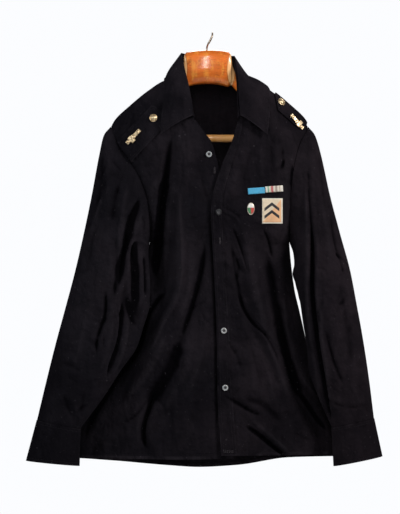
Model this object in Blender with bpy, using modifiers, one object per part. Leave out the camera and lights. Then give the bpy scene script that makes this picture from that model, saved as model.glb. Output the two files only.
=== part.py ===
"""A dark twill military shirt, buttoned at the front, hanging on a curved wooden hanger.

Metres, +Z up. The front faces -Y and +X is the wearer's left. The origin is the inside
top of the hook's bow, where a rail or a peg carries the hanger. Every piece of cloth is a
thin wall whose outer side is worked out from sections by height and a table of folds.
Sizes in the tables are millimetres, counted from the origin.
"""

import math
from collections import namedtuple

import bmesh
import bpy
from mathutils import Matrix, Vector

MM = 0.001
SEAM = 0.3
WALL = 1.5
CUFF_WALL = 2.4
BAND_WALL = 1.2
BAND_LIFT = 0.5
BAND_START = 2
LEAF_WALL = 2.0
STAND_WALL = 2.2
STRAP_WALL = 2.0

# Body
BODY_COLUMNS = 16
BACK_COLUMNS = 22
BODY_ROWS = 24
ROW_CROWDING = 1.7
SIDE_ROUNDNESS = 2.1
SHOULDER_FALL = 110.0
NECK_FALL = 30.0
NECK_FALL_OUT = 36.0
NECK_FALL_RUN = 54.0
ARMHOLE_TOP = -181.0
ARMHOLE_LOW = -410.0
ARMHOLE_DEPTH = 42.0
TUCK = 4.4
TUCK_RUN = 30.0
PLACKET_WIDTH = 31.0
UNDERLAP = 24.0
FOLD_EDGE_POWER = 6

Level = namedtuple("Level", "z left right front back middle")
LEVELS = (
    Level(-60, -198, 186, 44, 38, 0),
    Level(-181, -198, 186, 50, 44, 0),
    Level(-215, -186, 171, 53, 44, 1),
    Level(-248, -162, 161, 55, 44, 3),
    Level(-287, -139, 155, 57, 43, 5),
    Level(-335, -124, 151, 58, 42, 8),
    Level(-384, -120, 150, 59, 41, 10),
    Level(-410, -123, 151, 60, 40, 11),
    Level(-447, -136, 154, 60, 40, 12),
    Level(-501, -150, 161, 60, 40, 12),
    Level(-544, -162, 171, 60, 40, 12),
    Level(-579, -173, 179, 59, 40, 12),
    Level(-657, -202, 196, 58, 40, 12),
    Level(-735, -240, 228, 57, 41, 12),
    Level(-794, -266, 246, 57, 42, 12),
    Level(-860, -270, 252, 57, 43, 12),
)

# The shoulder's ridge, from the middle of the neck outwards
Ridge = namedtuple("Ridge", "out z")
RIDGE_MIDDLE = -6.0
RIDGE = (
    Ridge(0, -82),
    Ridge(60, -83),
    Ridge(90, -92),
    Ridge(120, -111),
    Ridge(160, -144),
    Ridge(184, -167),
    Ridge(192, -181),
    Ridge(198, -200),
)

# Each front's neckline, from the front corner up to the shoulder's ridge
TopPoint = namedtuple("TopPoint", "along x z")
NECK_RIGHT = (
    TopPoint(0.00, -35, -168),
    TopPoint(0.12, -45, -142),
    TopPoint(0.24, -56, -112),
    TopPoint(0.36, -70, -84.4),
)
NECK_LEFT = (
    TopPoint(0.00, 50, -170),
    TopPoint(0.12, 52, -142),
    TopPoint(0.24, 54, -112),
    TopPoint(0.36, 58, -84.2),
)
TOP_FADE = 150.0
BACK_NECK_OUT = 64.0
BACK_NECK_DIP = 12.0
BACK_NECK_SPREAD = 1.4

# Front edges by height
Edge = namedtuple("Edge", "z x")
EDGE_LEFT = (
    Edge(-170, 50),
    Edge(-211, 38),
    Edge(-248, 22),
    Edge(-274, 13),
    Edge(-298, 5),
    Edge(-320, 0),
    Edge(-349, -2),
    Edge(-429, 2),
    Edge(-579, 9),
    Edge(-716, 11),
    Edge(-860, 19),
)
EDGE_RIGHT_OPEN = (
    Edge(-168, -35),
    Edge(-195, -15),
    Edge(-213, -2),
    Edge(-242, 7),
    Edge(-270, 14),
)

# Hems by distance across
Hem = namedtuple("Hem", "x z")
HEM_FRONT = (Hem(-262, -829), Hem(-60, -831), Hem(10, -824), Hem(244, -822))
HEM_BACK = (
    Hem(-262, -832),
    Hem(-190, -838),
    Hem(-80, -848),
    Hem(-26, -851),
    Hem(50, -847),
    Hem(150, -832),
    Hem(244, -828),
)

# Folds: three places on each, its width and how far it stands out, troughs below nought
Fold = namedtuple("Fold", "x1 z1 x2 z2 x3 z3 width height")
FRONT_FOLDS = (
    Fold(-84, -195, -94, -330, -112, -500, 15, -15),
    Fold(-52, -200, -60, -320, -66, -450, 26, 6),
    Fold(-62, -400, -82, -545, -146, -665, 17, 11),
    Fold(-14, -410, -30, -500, -66, -610, 13, -8),
    Fold(-128, -560, -160, -640, -205, -720, 15, -10),
    Fold(-118, -690, -126, -760, -134, -835, 14, -10),
    Fold(-40, -640, -62, -730, -80, -835, 22, 5),
    Fold(104, -400, 124, -560, 216, -790, 16, -14),
    Fold(48, -380, 68, -540, 190, -760, 12, -9),
    Fold(72, -420, 100, -580, 196, -790, 13, 9),
    Fold(36, -690, 74, -750, 150, -840, 13, -6),
    Fold(130, -250, 132, -350, 138, -480, 16, 6),
    Fold(60, -230, 40, -290, 16, -350, 18, 4),
)
BACK_FOLDS = (
    Fold(-90, -190, -104, -380, -150, -640, 18, -10),
    Fold(-40, -300, -52, -520, -96, -800, 24, 7),
    Fold(8, -210, 4, -460, 30, -760, 20, -7),
    Fold(96, -200, 108, -420, 160, -700, 18, -10),
    Fold(60, -420, 82, -600, 140, -820, 22, 8),
    Fold(-150, -560, -176, -680, -210, -820, 16, -7),
)
FOLD_END = 55.0

# Sleeves: outer and inner line, middle of the depth and half of it
SLEEVE_ROWS = 20
SLEEVE_SIDES = 20
ARMHOLE_STEP = 0.7
ARMHOLE_BLEND = 0.2
CREASE_FREE_TOP = 0.08
CREASE_FREE_LOW = 0.06
CREASE_END = 0.15
Ring = namedtuple("Ring", "along outer_x outer_z inner_x inner_z y half")
RING_VALUES = ("outer_x", "outer_z", "inner_x", "inner_z", "y", "half")
SLEEVE_RIGHT = (
    Ring(0.00, -198, -181, -123, -410, 6, 42),
    Ring(0.06, -212, -199, -127, -432, -10, 41),
    Ring(0.15, -221, -238, -127, -460, -27, 36),
    Ring(0.27, -235, -316, -121, -494, -43, 31),
    Ring(0.40, -251, -394, -122, -530, -51, 28),
    Ring(0.52, -268, -468, -133, -569, -54, 27),
    Ring(0.64, -286, -536, -147, -612, -56, 25),
    Ring(0.76, -305, -606, -178, -657, -56, 24),
    Ring(0.88, -324, -682, -213, -711, -55, 23),
    Ring(1.00, -341, -753, -257, -770, -54, 22),
)
SLEEVE_LEFT = (
    Ring(0.00, 186, -181, 151, -410, 6, 42),
    Ring(0.06, 200, -198, 158, -430, 0, 42),
    Ring(0.15, 213, -240, 163, -452, -8, 41),
    Ring(0.27, 228, -310, 168, -484, -18, 40),
    Ring(0.40, 248, -388, 173, -520, -27, 38),
    Ring(0.52, 268, -462, 178, -564, -34, 36),
    Ring(0.64, 281, -530, 183, -608, -38, 34),
    Ring(0.76, 294, -603, 188, -657, -41, 32),
    Ring(0.88, 305, -677, 206, -710, -43, 29),
    Ring(1.00, 314, -750, 232, -768, -44, 26),
)
Crease = namedtuple("Crease", "along1 turn1 along2 turn2 width height")
SLEEVE_RIGHT_FOLDS = (
    Crease(0.12, 0.30, 0.55, 0.36, 0.05, -7),
    Crease(0.20, 0.20, 0.70, 0.17, 0.06, 6),
    Crease(0.45, 0.42, 0.80, 0.33, 0.05, -6),
    Crease(0.60, 0.12, 0.96, 0.22, 0.05, -4),
    Crease(0.15, 0.72, 0.70, 0.68, 0.06, -6),
    Crease(0.50, 0.85, 0.95, 0.76, 0.06, 5),
)
SLEEVE_LEFT_FOLDS = (
    Crease(0.08, 0.27, 0.95, 0.30, 0.06, 6),
    Crease(0.10, 0.38, 0.70, 0.40, 0.05, -8),
    Crease(0.35, 0.16, 0.80, 0.22, 0.06, -5),
    Crease(0.55, 0.34, 0.95, 0.37, 0.05, -5),
    Crease(0.20, 0.70, 0.75, 0.66, 0.06, -6),
    Crease(0.50, 0.86, 0.95, 0.80, 0.06, 5),
)
CUFF_ROWS = 4
CUFF_STEP = 0.5
CUFF_SWELL = 0.8
CUFF_RIGHT_END = Ring(1.0, -362, -832, -259, -842, -54, 27)
CUFF_LEFT_END = Ring(1.0, 330, -824, 236, -843, -44, 31)

# Collar: its fold at the top and its outer edge, turning from the right front round the
# back to the left front; bulge is how far the fall stands out between the two
Collar = namedtuple("Collar", "turn fold_x fold_y fold_z edge_x edge_y edge_z bulge")
COLLAR = (
    Collar(0.00, -38, -58, -161, -101, -58, -198, 2),
    Collar(0.10, -43, -51, -128, -99, -52, -165, 3),
    Collar(0.20, -49, -38, -92, -97, -40, -130, 6),
    Collar(0.30, -56, -14, -52, -94, -14, -96, 10),
    Collar(0.38, -57, 16, -40, -92, 24, -103, 9),
    Collar(0.45, -38, 40, -41, -62, 52, -104, 6),
    Collar(0.50, -6, 47, -41, -6, 58, -105, 5),
    Collar(0.55, 24, 40, -41, 52, 52, -106, 4),
    Collar(0.62, 43, 16, -42, 88, 24, -112, 0),
    Collar(0.70, 46, -14, -56, 113, -18, -119, -4),
    Collar(0.80, 50, -38, -94, 112, -42, -148, 0),
    Collar(0.90, 51, -51, -128, 110, -52, -174, 2),
    Collar(1.00, 54, -58, -161, 107, -57, -200, 2),
)
COLLAR_COLUMNS = 32
LEAF_ROWS = 6
STAND_ROWS = 3
LEAF_RISE = 3.0
LEAF_LIFT = 3.2
STAND_DROP = 6.0
STAND_IN = 1.6
STAND_GAP = 1.3
STAND_START = 0.012
NECK_ALONG = 0.36
NECK_TURN = 0.30
FLAT_REACH = 0.75

# Shoulder straps and what is pinned to them, in the front's own plane
STRAP_ROWS = 8
STRAP_COLUMNS = 6
STRAP_LIFT = 1.4
STRAP_POINT = 0.12
STRAP_CLEAR = 3.0
Strap = namedtuple("Strap", "tip_x tip_z end_x end_z wide")
STRAP_RIGHT = Strap(-97, -154, -176, -237, 46)
Over = namedtuple("Over", "tip_x back front")
STRAP_LEFT = Over(121, 0.24, 0.69)

BUTTON_RADIUS = 5.8
BUTTON_HEIGHT = 2.6
BRASS_RADIUS = 7.8
BRASS_HEIGHT = 4.2
BUTTON_SIDES = 14
TURN_MERGE = 0.00001
FACING_STEP = 4.0

# Turned profiles, from the middle of the front to the middle of the back
Turn = namedtuple("Turn", "radius height")
BUTTON_PROFILE = (
    Turn(0.0, 0.55),
    Turn(0.5, 0.55),
    Turn(0.72, 0.95),
    Turn(0.9, 1.0),
    Turn(1.0, 0.7),
    Turn(0.92, 0.2),
    Turn(0.7, 0.0),
    Turn(0.0, 0.0),
)
BRASS_PROFILE = (
    Turn(0.0, 1.0),
    Turn(0.45, 0.93),
    Turn(0.75, 0.68),
    Turn(0.88, 0.42),
    Turn(1.0, 0.36),
    Turn(1.0, 0.12),
    Turn(0.8, 0.0),
    Turn(0.0, 0.0),
)
OVAL_PROFILE = (
    Turn(0.0, 1.0),
    Turn(0.62, 0.86),
    Turn(0.9, 0.55),
    Turn(1.0, 0.35),
    Turn(1.0, 0.0),
    Turn(0.0, 0.0),
)

Button = namedtuple("Button", "name x z under gap")
ON_BAND = BAND_LIFT + BAND_WALL
ON_STRAP = STRAP_LIFT + STRAP_WALL
BUTTONS = (
    Button("button_neck", -7, -237, 0.0, 0.5),
    Button("button_chest", 12, -349, ON_BAND, 0.2),
    Button("button_waist", 22, -580, ON_BAND, 0.5),
    Button("button_hem", 24, -691, ON_BAND, 0.9),
)
CUFF_BUTTON_TURN = 17
CUFF_BUTTON_ROW = 2
CUFF_BUTTON_GAP = 0.4
BRASS_BUTTONS = (
    Button("strap_button_right", -114, -167, ON_STRAP, 0.4),
    Button("strap_button_left", 133, -136, ON_STRAP, 0.4),
)
Pin = namedtuple("Pin", "name x z run_x run_z gap")
PINS = (
    Pin("pin_right", -153, -204, -27, -29, 1.1),
    Pin("pin_left", 163, -174, 27, -29, 0.0),
)

Badge = namedtuple("Badge", "name x z wide high turn thick")
RIBBON_BLUE = Badge("ribbon_blue", 85, -308, 33, 12, 4, 2.0)
RIBBON_STRIPED = Badge("ribbon_striped", 119.5, -304.5, 34, 12, 4, 2.0)
PATCH = Badge("chest_patch", 116, -347, 39.5, 49, 0, 2.0)
OVAL = Badge("badge_oval", 74.5, -343, 14.6, 24, 0, 2.6)
BADGE_LIFT = 1.0
BADGE_ROWS = 4
BADGE_COLUMNS = 5
OVAL_SIDES = 20
PIN_LENGTH = 36.0
PIN_RADIUS = 2.2
PIN_BEAD = 3.4
PIN_BEADS = (-13.0, 0.0, 13.0)
PIN_BEAD_HALF = 3.2
PIN_SIDES = 10
PIN_NOSE = 0.7 * PIN_RADIUS
PIN_NOSE_STEP = 0.6
PIN_NOSE_END = 1.8

# Hanger: the block at the neck by distance across, then the arms under the shoulders
Block = namedtuple("Block", "x top low half")
BLOCK = (
    Block(-53, -66, -112, 9),
    Block(-50.8, -44, -107, 12),
    Block(-47, -38, -104, 14),
    Block(-34, -35, -101, 16.5),
    Block(-8, -33, -99, 18),
    Block(16, -34, -101, 17),
    Block(32, -37, -106, 14.5),
    Block(36.6, -43, -109, 12.5),
    Block(38, -64, -113, 9),
)
Arm = namedtuple("Arm", "out low half drop")
ARMS = (
    Arm(57, -128, 9, 9.0),
    Arm(72, -140, 12, 5.4),
    Arm(96, -156, 12, 5.4),
    Arm(124, -172, 13, 5.4),
    Arm(150, -189, 13, 5.4),
    Arm(154, -221, 13, 5.4),
    Arm(172, -222, 11, 7.0),
    Arm(184, -216, 7, 12.0),
)
HANGER_SIDES = 16
HANGER_SQUARE = 2.3
BAR_RADIUS = 7.4
BAR_Z = -204.5
BAR_REACH = 150.3
BAR_SIDES = 20
WIRE_RADIUS = 2.0
BOW_RADIUS = 13.5
BOW_START = -50.0
BOW_END = 215.0
BOW_STEPS = 20
STEM_X = -11.0
STEM_LOW = -32.6
STEM_BENDS = ((0.0, -29.0), (0.4, -26.5), (3.0, -24.4), (5.8, -23.2))

CLOTH = ("twill", (0.012, 0.010, 0.014), 0.85, 0.0)
WOOD = ("varnished_wood", (0.42, 0.13, 0.025), 0.28, 0.0)
STEEL = ("hook_wire", (0.42, 0.30, 0.20), 0.35, 1.0)
BRASS = ("brass", (0.62, 0.42, 0.20), 0.38, 1.0)
PEARL = ("pearly_plastic", (0.62, 0.62, 0.60), 0.3, 0.0)
BLUE = ("ribbon_blue_cloth", (0.05, 0.30, 0.52), 0.7, 0.0)
CREAM = ("ribbon_cream_cloth", (0.62, 0.55, 0.42), 0.7, 0.0)
PEACH = ("patch_cloth", (0.72, 0.50, 0.32), 0.75, 0.0)
ENAMEL = ("badge_enamel", (0.55, 0.52, 0.45), 0.3, 0.0)


def clear_scene():
    for item in list(bpy.data.objects):
        bpy.data.objects.remove(item)


def collection_named(name):
    made = bpy.data.collections.new(name)
    bpy.context.scene.collection.children.link(made)
    return made


def limited(value, low, high):
    return max(low, min(high, value))


def eased(value):
    value = limited(value, 0.0, 1.0)
    return value * value * (3 - 2 * value)


def read_table(rows, key, column, at):
    """The column's value at a place, on a smooth curve through the table's rows."""
    places = [getattr(row, key) for row in rows]
    values = [getattr(row, column) for row in rows]
    if places[0] > places[-1]:
        places.reverse()
        values.reverse()
    at = limited(at, places[0], places[-1])
    last = len(places) - 2
    here = next((i for i in range(last + 1) if at <= places[i + 1]), last)
    slopes = [(values[i + 1] - values[i]) / (places[i + 1] - places[i])
              for i in range(len(places) - 1)]

    def slope_at(index):
        if index == 0:
            return slopes[0]
        if index == len(places) - 1:
            return slopes[-1]
        before, after = slopes[index - 1], slopes[index]
        if before * after <= 0:
            return 0.0
        return 2 * before * after / (before + after)

    span = places[here + 1] - places[here]
    s = (at - places[here]) / span
    return ((1 + 2 * s) * (1 - s) ** 2 * values[here]
            + s * (1 - s) ** 2 * span * slope_at(here)
            + s * s * (3 - 2 * s) * values[here + 1]
            + s * s * (s - 1) * span * slope_at(here + 1))


def ridge_height(x):
    return read_table(RIDGE, "out", "z", abs(x - RIDGE_MIDDLE))


def armhole_depth(z):
    share = (ARMHOLE_TOP - z) / (ARMHOLE_TOP - ARMHOLE_LOW)
    if share <= 0 or share >= 1:
        return 0.0
    return ARMHOLE_DEPTH * 2 * math.sqrt(share * (1 - share))


def fold_height(folds, x, z):
    """How far all the folds together lift the cloth at one place."""
    total = 0.0
    for fold in folds:
        if not fold.z3 - FOLD_END < z < fold.z1 + FOLD_END:
            continue
        a, b, c = fold.z1, fold.z2, fold.z3
        middle = limited(z, c, a)
        line = (fold.x1 * (middle - b) * (middle - c) / ((a - b) * (a - c))
                + fold.x2 * (middle - a) * (middle - c) / ((b - a) * (b - c))
                + fold.x3 * (middle - a) * (middle - b) / ((c - a) * (c - b)))
        lean = math.hypot(1.0, (fold.x3 - fold.x1) / (c - a))
        fade = eased((z - c + FOLD_END) / (2 * FOLD_END)) * eased((a + FOLD_END - z) / (2 * FOLD_END))
        total += fold.height * fade * math.exp(-((x - line) / (lean * fold.width)) ** 2)
    return total


def body_y(x, z, front):
    """The outer side's depth at one place of the front or the back."""
    left = read_table(LEVELS, "z", "left", z)
    right = read_table(LEVELS, "z", "right", z)
    across = limited((2 * x - left - right) / (right - left), -1.0, 1.0)
    full = read_table(LEVELS, "z", "front" if front else "back", z)
    hole = min(armhole_depth(z), full)
    rounding = (1 - abs(across) ** SIDE_ROUNDNESS) ** (1 / SIDE_ROUNDNESS)
    swell = hole + (full - hole) * rounding
    fall = SHOULDER_FALL
    if not front:
        share = eased((abs(x - RIDGE_MIDDLE) - NECK_FALL_OUT) / NECK_FALL_RUN)
        fall = NECK_FALL + (SHOULDER_FALL - NECK_FALL) * share
    below = limited((ridge_height(x) - z) / fall, 0.0, 1.0)
    closing = math.sqrt(1 - (1 - below) ** 2)
    folds = fold_height(FRONT_FOLDS if front else BACK_FOLDS, x, z)
    swell += folds * (1 - abs(across) ** FOLD_EDGE_POWER)
    away = closing * swell + SEAM / 2
    middle = read_table(LEVELS, "z", "middle", z)
    return middle - away if front else middle + away


def front_edge(z, left_side):
    if left_side:
        return read_table(EDGE_LEFT, "z", "x", z)
    lapped = read_table(EDGE_LEFT, "z", "x", z) + UNDERLAP
    free = read_table(EDGE_RIGHT_OPEN, "z", "x", z)
    low = EDGE_RIGHT_OPEN[-1].z
    return free + (lapped - free) * eased((low - z) / (2 * UNDERLAP))


def front_top(share, left_side):
    """The top edge of a front: its neckline, then the ridge out to the shoulder's tip."""
    neck = NECK_LEFT if left_side else NECK_RIGHT
    if share <= NECK_ALONG:
        return (read_table(neck, "along", "x", share), read_table(neck, "along", "z", share))
    tip = LEVELS[1].right if left_side else LEVELS[1].left
    x = neck[-1].x + (tip - neck[-1].x) * (share - NECK_ALONG) / (1 - NECK_ALONG)
    return (x, ridge_height(x))


def front_x(top, share, z, left_side):
    """Across a front at one height: the columns start at its top edge and run down."""
    side = "right" if left_side else "left"

    def straight(height):
        edge = front_edge(height, left_side)
        return edge + (read_table(LEVELS, "z", side, height) - edge) * share

    fade = (1 - limited((top[1] - z) / TOP_FADE, 0.0, 1.0)) ** 2
    return straight(z) + (top[0] - straight(top[1])) * fade


def row_shares():
    return [(i / BODY_ROWS) ** ROW_CROWDING for i in range(BODY_ROWS + 1)]


def front_points(left_side):
    """Rows of points down one front, each from -X to +X."""
    band = PLACKET_WIDTH / abs(EDGE_LEFT[-1].x - LEVELS[-1].right)
    shares = [0.0, band / 2, band]
    rest = BODY_COLUMNS - 2
    shares += [band + (1 - band) * (i + 1) / rest for i in range(rest)]
    rows = []
    for down in row_shares():
        row = []
        for share in shares:
            top = front_top(share, left_side)
            hem = read_table(HEM_FRONT, "x", "z", top[0])
            z = top[1] + (hem - top[1]) * down
            x = front_x(top, share, z, left_side)
            y = body_y(x, z, True)
            if not left_side:
                lap = x - read_table(EDGE_LEFT, "z", "x", z) + TUCK_RUN
                y += TUCK * eased(lap / TUCK_RUN)
            row.append(Vector((x, y, z)) * MM)
        rows.append(row if left_side else row[::-1])
    return rows


def back_top(x):
    """The back's top edge: the shoulders' ridge, dipped at the neck."""
    out = abs(x - RIDGE_MIDDLE) / BACK_NECK_OUT
    return ridge_height(x) - BACK_NECK_DIP * eased(BACK_NECK_SPREAD * (1 - out))


def back_points():
    rows = []
    for down in row_shares():
        row = []
        for i in range(BACK_COLUMNS + 1):
            share = 0.5 - 0.5 * math.cos(math.pi * i / BACK_COLUMNS)
            share = (share + i / BACK_COLUMNS) / 2
            tip_left, tip_right = LEVELS[1].left, LEVELS[1].right
            start = tip_left + (tip_right - tip_left) * share
            top = back_top(start)
            hem = read_table(HEM_BACK, "x", "z", start * LEVELS[-1].left / tip_left)
            z = top + (hem - top) * down
            low_left = read_table(LEVELS, "z", "left", z)
            low_right = read_table(LEVELS, "z", "right", z)
            x = low_left + (low_right - low_left) * share
            row.append(Vector((x, body_y(x, z, False), z)) * MM)
        rows.append(row[::-1])
    return rows


def ring_point(ring, turn):
    """A point on a flattened ring; turn runs from the outer line over the front."""
    angle = 2 * math.pi * turn
    share = (1 - math.cos(angle)) / 2
    x = ring.outer_x + (ring.inner_x - ring.outer_x) * share
    z = ring.outer_z + (ring.inner_z - ring.outer_z) * share
    return Vector((x, ring.y - ring.half * math.sin(angle), z))


def ring_at(rings, along):
    return Ring(along, *(read_table(rings, "along", name, along) for name in RING_VALUES))


def crease_height(creases, along, turn):
    total = 0.0
    for crease in creases:
        share = (along - crease.along1) / (crease.along2 - crease.along1)
        line = crease.turn1 + (crease.turn2 - crease.turn1) * limited(share, 0.0, 1.0)
        fade = eased((share + CREASE_END) / (2 * CREASE_END))
        fade *= eased((1 + CREASE_END - share) / (2 * CREASE_END))
        off = (turn - line + 0.5) % 1.0 - 0.5
        total += crease.height * fade * math.exp(-(off / crease.width) ** 2)
    return total


def armhole_point(turn, left_side):
    angle = 2 * math.pi * turn
    share = (1 - math.cos(angle)) / 2
    z = ARMHOLE_TOP + (ARMHOLE_LOW - ARMHOLE_TOP) * share
    x = read_table(LEVELS, "z", "right" if left_side else "left", z)
    x += ARMHOLE_STEP if left_side else -ARMHOLE_STEP
    y = read_table(LEVELS, "z", "middle", z) - ARMHOLE_DEPTH * math.sin(angle)
    return Vector((x, y, z))


def sleeve_points(rings, creases, left_side):
    rows = []
    for i in range(SLEEVE_ROWS + 1):
        along = i / SLEEVE_ROWS
        ring = ring_at(rings, along)
        middle = (ring_point(ring, 0.0) + ring_point(ring, 0.5)) / 2
        row = []
        for j in range(SLEEVE_SIDES):
            turn = j / SLEEVE_SIDES
            point = ring_point(ring, turn)
            fade = (1 - limited(along / ARMHOLE_BLEND, 0.0, 1.0)) ** 2
            point += (armhole_point(turn, left_side) - ring_point(ring_at(rings, 0.0), turn)) * fade
            away = (point - middle).normalized()
            calm = eased(along / CREASE_FREE_TOP) * eased((1 - along) / CREASE_FREE_LOW)
            point += away * crease_height(creases, along, turn) * calm
            row.append(point * MM)
        rows.append(row[::-1] if left_side else row)
    return rows


def cuff_points(rings, end, left_side):
    start = ring_at(rings, 1.0)
    rows = []
    for i in range(CUFF_ROWS + 1):
        share = i / CUFF_ROWS
        values = [getattr(start, name) * (1 - share) + getattr(end, name) * share
                  for name in RING_VALUES]
        ring = Ring(1.0, *values)
        middle = (ring_point(ring, 0.0) + ring_point(ring, 0.5)) / 2
        row = []
        for j in range(SLEEVE_SIDES):
            point = ring_point(ring, j / SLEEVE_SIDES)
            point += (point - middle).normalized() * CUFF_SWELL
            point.z -= CUFF_STEP
            row.append(point * MM)
        rows.append(row[::-1] if left_side else row)
    return rows


def collar_place(turn, part):
    return Vector([read_table(COLLAR, "turn", f"{part}_{axis}", turn) for axis in "xyz"])


def held_off(point, lift):
    """A point kept at least its lift off the shoulders and the body."""
    top = ridge_height(point.x)
    front = point.y < read_table(LEVELS, "z", "middle", point.z)
    full = read_table(LEVELS, "z", "front" if front else "back", top)
    reach = abs(point.y) / full
    if reach < FLAT_REACH:
        roof = top - SHOULDER_FALL * (1 - math.sqrt(1 - reach ** 2))
        point.z = max(point.z, roof + lift)
    elif point.z < top and front:
        point.y = min(point.y, body_y(point.x, point.z, True) - lift)
    elif point.z < top:
        point.y = max(point.y, body_y(point.x, point.z, False) + lift)
    return point


def leaf_points():
    """The fall of the collar, from its fold at the neck down to its outer edge."""
    rows = []
    for i in range(LEAF_ROWS + 1):
        share = i / LEAF_ROWS
        row = []
        for j in range(COLLAR_COLUMNS + 1):
            turn = j / COLLAR_COLUMNS
            fold = collar_place(turn, "fold")
            edge = collar_place(turn, "edge")
            away = Vector((fold.x - RIDGE_MIDDLE, fold.y, 0.0)).normalized()
            away.z = 1.0
            bulge = read_table(COLLAR, "turn", "bulge", turn)
            point = fold.lerp(edge, share) + away * bulge * 4 * share * (1 - share)
            row.append(held_off(point, (LEAF_LIFT + LEAF_WALL) * eased(LEAF_RISE * share)) * MM)
        rows.append(row[::-1])
    return rows


def neck_seam(turn):
    """The neckline of the fronts and the back, where the collar's stand is sewn on."""
    if NECK_TURN < turn < 1 - NECK_TURN:
        right, left = NECK_RIGHT[-1].x, NECK_LEFT[-1].x
        x = right + (left - right) * (turn - NECK_TURN) / (1 - 2 * NECK_TURN)
        z = back_top(x)
        return Vector((x, body_y(x, z, False), z))
    along = NECK_ALONG * min(turn, 1 - turn) / NECK_TURN
    x, z = front_top(along, turn > 0.5)
    return Vector((x, body_y(x, z, True), z))


def stand_points():
    rows = []
    for i in range(STAND_ROWS + 1):
        share = i / STAND_ROWS
        row = []
        for j in range(COLLAR_COLUMNS + 1):
            turn = STAND_START + (1 - 2 * STAND_START) * j / COLLAR_COLUMNS
            seam = neck_seam(turn)
            fold = collar_place(turn, "fold")
            fold -= Vector((fold.x - RIDGE_MIDDLE, fold.y, 0.0)).normalized() * STAND_IN
            fold.z -= STAND_DROP
            up = (fold - seam).normalized()
            row.append((seam + up * STAND_GAP).lerp(fold, share) * MM)
        rows.append(row)
    return rows


def normals_of(rows, closed=False):
    """The outward side at each point of a sheet."""
    count = len(rows[0])
    found = []
    for i, row in enumerate(rows):
        above = rows[max(i - 1, 0)]
        below = rows[min(i + 1, len(rows) - 1)]
        line = []
        for j in range(count):
            before = row[(j - 1) % count] if closed else row[max(j - 1, 0)]
            after = row[(j + 1) % count] if closed else row[min(j + 1, count - 1)]
            normal = (after - before).cross(above[j] - below[j])
            line.append(normal.normalized())
        found.append(line)
    return found


def moved_out(rows, distance, closed=False):
    normals = normals_of(rows, closed)
    return [[point + normal * distance * MM for point, normal in zip(row, line)]
            for row, line in zip(rows, normals)]


def seam_normal(point, normal, at_side):
    """The way that a wall goes inwards at a seam, so that two walls meet edge to edge."""
    middle = read_table(LEVELS, "z", "middle", point.z / MM) * MM
    if at_side and ARMHOLE_LOW * MM < point.z < ARMHOLE_TOP * MM:
        normal.x = 0.0
    if abs(point.y - middle) < SEAM * MM:
        normal.y = 0.0
    return normal.normalized() if normal.length > 0 else Vector((0.0, 0.0, 1.0))


def panel_inside(rows):
    """The inner side of a front or of the back."""
    last = len(rows[0]) - 1
    found = []
    for row, line in zip(rows, normals_of(rows)):
        inner = []
        for j, (point, normal) in enumerate(zip(row, line)):
            normal = seam_normal(point, normal, j in (0, last))
            inner.append(point - normal * WALL * MM)
        found.append(inner)
    return found


def sleeve_inside(rows):
    """The inner side of a sleeve, its first ring square to the armhole's seam."""
    found = moved_out(rows, -WALL, True)
    for j, normal in enumerate(normals_of(rows, True)[0]):
        normal.x = 0.0
        if normal.length > 0:
            found[0][j] = rows[0][j] - normal.normalized() * WALL * MM
    return found


def material(look):
    name, colour, roughness, metallic = look
    made = bpy.data.materials.new(name)
    made.use_nodes = True
    shader = made.node_tree.nodes["Principled BSDF"]
    shader.inputs["Base Color"].default_value = (*colour, 1.0)
    shader.inputs["Roughness"].default_value = roughness
    shader.inputs["Metallic"].default_value = metallic
    return made


def place(name, mesh, look, holder):
    made = bpy.data.objects.new(name, mesh)
    holder.objects.link(made)
    mesh.materials.append(material(look))
    return made


def sheet(name, outer, inner, holder, look=CLOTH, closed=False):
    """A wall of cloth: two surfaces lofted through rows of points, joined round their edges."""
    built = bmesh.new()
    count = len(outer[0])
    steps = count if closed else count - 1
    faces = [[built.verts.new(point) for point in row] for row in outer]
    backs = [[built.verts.new(point) for point in row] for row in inner]
    for i in range(len(outer) - 1):
        for j in range(steps):
            after = (j + 1) % count
            a, b, c, d = faces[i][j], faces[i][after], faces[i + 1][after], faces[i + 1][j]
            built.faces.new((a, d, c))
            built.faces.new((a, c, b))
            a, b, c, d = backs[i][j], backs[i][after], backs[i + 1][after], backs[i + 1][j]
            built.faces.new((a, c, d))
            built.faces.new((a, b, c))
    for j in range(steps):
        after = (j + 1) % count
        built.faces.new((faces[0][j], faces[0][after], backs[0][after], backs[0][j]))
        built.faces.new((faces[-1][after], faces[-1][j], backs[-1][j], backs[-1][after]))
    if not closed:
        for i in range(len(outer) - 1):
            built.faces.new((faces[i + 1][0], faces[i][0], backs[i][0], backs[i + 1][0]))
            built.faces.new((faces[i][-1], faces[i + 1][-1], backs[i + 1][-1], backs[i][-1]))
    mesh = bpy.data.meshes.new(name)
    built.to_mesh(mesh)
    built.free()
    return place(name, mesh, look, holder)


def laid_on(name, base, lift, wall, holder, look=CLOTH):
    """A piece that lies on a panel: the panel's own points, moved out."""
    sheet(name, moved_out(base, lift + wall), moved_out(base, lift), holder, look)


def sized(profile, radius, height):
    """A profile in shares, at its real radius and height."""
    return [Turn(point.radius * radius, point.height * height) for point in profile]


def turned(name, profile, steps, look, holder):
    """A turned piece: its profile runs down the outer side and is spun round Z."""
    mesh = bpy.data.meshes.new(name)
    points = [(point.radius * MM, 0.0, point.height * MM) for point in profile]
    mesh.from_pydata(points, [(i, i + 1) for i in range(len(points) - 1)], [])
    made = place(name, mesh, look, holder)
    spin = made.modifiers.new("turn", "SCREW")
    spin.steps = steps
    spin.render_steps = steps
    spin.use_merge_vertices = True
    spin.merge_threshold = TURN_MERGE
    return made


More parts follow.
